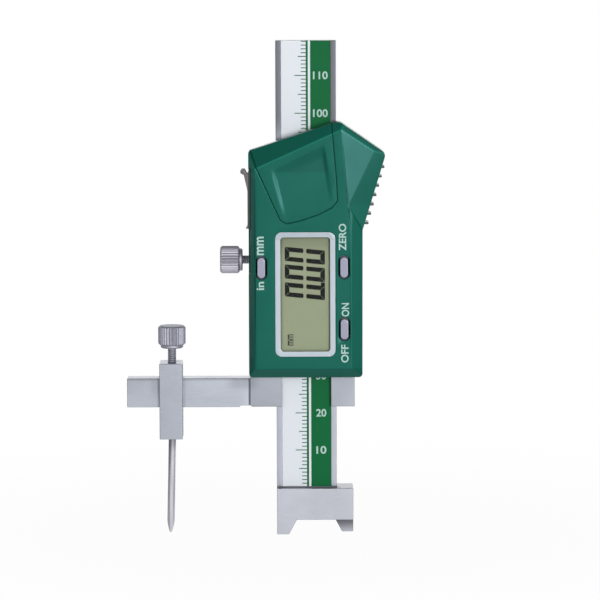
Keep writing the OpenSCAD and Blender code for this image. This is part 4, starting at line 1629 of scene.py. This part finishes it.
@dataclass
class Scriber(SubAssembly):
    """Needle holder and the needle pressed into it.

    `point` gives the needle's end as shares of its radius and of `point_l`, and `lean` is how
    far it leans to a side for each millimetre above or below `lean_z`.
    """

    needle_x: float = -36.2
    needle_r: float = 1.0
    broken_edge: float = 0.06
    shank_r: float = 0.8
    shank_l: float = 7.0
    holder_z: float = 25.7
    point_l: float = 3.2
    point: tuple[tuple[float, float], ...] = (
        (0.95, 0.88), (0.87, 0.72), (0.76, 0.55), (0.64, 0.4), (0.52, 0.25), (0.41, 0.13),
        (0.29, 0.04), (0.15, 0.0))
    lean: float = 0.024
    lean_z: float = 13.0

    def needle(self) -> bpy.types.Object:
        """Needle turned in one piece: shank, body with broken edges and rounded point.

        It sits a little out of upright in its holder.
        """
        r = self.needle_r
        shoulder = self.holder_z
        top = shoulder + self.shank_l
        profile = [(0, top), (self.shank_r, top), (self.shank_r, shoulder),
                   (r - self.broken_edge, shoulder), (r, shoulder - self.broken_edge),
                   (r, self.point_l + 0.25), (r - 0.012, self.point_l)]
        point = [(across * r, along * self.point_l) for across, along in self.point]
        mesh = turned_mesh(profile + point + [(0, 0)], 48)
        mesh.transform(Matrix.Translation((self.needle_x * MM, 0, 0)))
        for vert in mesh.vertices:
            vert.co.x += (vert.co.z - self.lean_z * MM) * self.lean
        return piece_from(mesh, "scriber_needle_polished", POLISHED_STEEL)

    def build(self) -> None:
        """Builds and dresses the group."""
        self.rounded("needle_holder", "needle_holder_ground", HOLDER_STEEL, 0.16, "scriber",
                     "ground_steel")
        self.keep(self.needle(), "scriber", "polished_steel", "scriber_needle")


@dataclass
class Studio:
    """Camera at the photograph's angle, soft lamps, white surroundings and a white floor.

    The camera's place, lens and sensor are in millimetres and its turns in degrees. All other
    lengths are in metres. `overhead`, `beside` and `behind` each hold the parts of a direction
    between which a border of the surroundings fades.
    """

    eye: Point = (-1.67, -1028.9, 181.55)
    pitch: float = 83.4
    roll: float = -0.2
    lens: float = 233.4
    sensor: float = 36.0
    clip: tuple[float, float] = (0.05, 30.0)
    middle: Point = (0, 0, 0.07)
    daylight: float = 0.55
    overhead: tuple[float, float] = (0.3, 0.6)
    beside: tuple[float, float] = (0.55, 0.9)
    panel: float = 0.75
    behind: tuple[float, float] = (0.5, 0.95)
    backdrop: float = 1.0
    left_dimming: float = 0.45
    overhead_dimming: float = 0.6
    floor_half: float = 12.0

    def camera(self) -> None:
        """Makes the camera and gives it to the scene."""
        data = bpy.data.cameras.new("camera")
        data.lens = self.lens
        data.sensor_width = self.sensor
        data.clip_start, data.clip_end = self.clip
        made = bpy.data.objects.new("camera", data)
        made.location = Vector(self.eye) * MM
        pitch = Matrix.Rotation(math.radians(self.pitch), 3, "X")
        roll = Matrix.Rotation(math.radians(self.roll), 3, "Z")
        made.rotation_euler = (pitch @ roll).to_euler()
        bpy.context.scene.collection.objects.link(made)
        bpy.context.scene.camera = made

    def lamp(self, name: str, place: Point, power: float, size: float) -> None:
        """Adds a soft square lamp that faces the middle of the gauge.

        Args:
            name: the lamp's name.
            place: its place, in metres.
            power: in watts.
            size: its side, in metres.
        """
        data = bpy.data.lights.new(name, "AREA")
        data.energy = power
        data.size = size
        made = bpy.data.objects.new(name, data)
        made.location = place
        way = Vector(self.middle) - Vector(place)
        made.rotation_euler = way.to_track_quat("-Z", "Y").to_euler()
        bpy.context.scene.collection.objects.link(made)

    def surroundings(self) -> None:
        """White world, dimmer as light, most of all from above and from the left.

        Reflections see dark panels overhead and at both sides, and a bright backdrop.
        """
        world = bpy.data.worlds.new("surroundings")
        world.use_nodes = True
        world.node_tree.nodes.clear()
        builder = NodeBuilder(world.node_tree)
        camera, glossy, through = builder.rays()
        way = builder.node("ShaderNodeSeparateXYZ", inputs={
            0: builder.node("ShaderNodeTexCoord").outputs["Generated"]})
        x, y, z = (Number(builder, out) for out in way.outputs)
        panels = z.ramp(*self.overhead).most(abs(x).ramp(*self.beside))
        mirrored = 1 - panels * self.panel + y.ramp(*self.behind) * self.backdrop
        strength = camera.most(through) + glossy * mirrored
        above = 1 - z.ramp(*self.overhead) * self.overhead_dimming
        left = 1 - (x * -1).ramp(*self.beside) * self.left_dimming
        plain = (1 - camera.most(through).most(glossy)) * (above * left)
        sky = builder.node("ShaderNodeBackground", inputs={
            "Color": (1, 1, 1, 1), "Strength": strength + plain * self.daylight})
        builder.node("ShaderNodeOutputWorld", inputs={"Surface": sky.outputs[0]})
        bpy.context.scene.world = world

    def floor(self) -> None:
        """Adds the floor, which isn't part of the gauge."""
        form = bmesh.new()
        bmesh.ops.create_grid(form, x_segments=4, y_segments=4, size=self.floor_half)
        piece_from(mesh_of(form, "floor"), "floor", StudioFloor("studio floor"))

    def build(self) -> None:
        """Builds the studio."""
        self.camera()
        self.surroundings()
        self.floor()
        self.lamp("key", (0.45, -1.26, 0.19), 8.6, 0.3)
        self.lamp("fill", (-0.5, -1.1, 0.2), 1.2, 0.7)
        bpy.context.scene.view_settings.view_transform = "Standard"


# The gauge's two thumbscrews and its slotted screws.
THUMBSCREWS = (
    Thumbscrew("lock_screw", "lock_knob", (-9.03, 0, 73.4), Facing.LEFT, 7.87, PLATED_ACROSS),
    Thumbscrew("holder_screw", "clamp_knob", (-35.85, 0, 41.93), Facing.UP, 7.9, PLATED_UPRIGHT))
SLOTTED_SCREWS = (
    Screws("housing_screws", "slider",
           [(-12, 3.1, 47.2), (10.4, 3.1, 47.2), (10.6, 3.1, 98.3), (-12, 3.1, 81)],
           Facing.BACK, (0.7, 10.9), (1.5, 1.0)),
    Screws("foot_screws", "base", [(-4, 4.2, 9), (4, 4.2, 9)], Facing.BACK, (0.9, 3.4), (1.6, 1.1)),
    Screws("end_stop_screws", "base", [(-5, 3.35, 126), (5, 3.35, 126)],
           Facing.BACK, (0.7, 2.8), (1.3, 0.6)),
    Screws("circuit_board_screws", "slider", [(-11.6, -3.5, 57), (10.4, -3.5, 79.5)],
           Facing.FRONT, (0.5, 3.2), (0.95, 0.5)),
    Screws("gib_adjusting_screws", "slider", [(-14.7, 0, 52), (-14.7, 0, 92)],
           Facing.LEFT, (1.0, 5.3), (1.0, 1.0)))


def main() -> None:
    """Builds the groups in order and reports each piece."""
    logging.basicConfig(level=logging.INFO, format="%(name)s: %(message)s")
    for group in (Studio(), BeamAndFoot(), SliderFrame(), Housing(), Display(), Keys(), Scriber()):
        group.build()
    knurl = knurl_tree()
    for screw in THUMBSCREWS:
        screw.build(knurl)
    slotted = screw_tree()
    for kind in SLOTTED_SCREWS:
        kind.build(slotted)


if __name__ == "__main__":
    main()
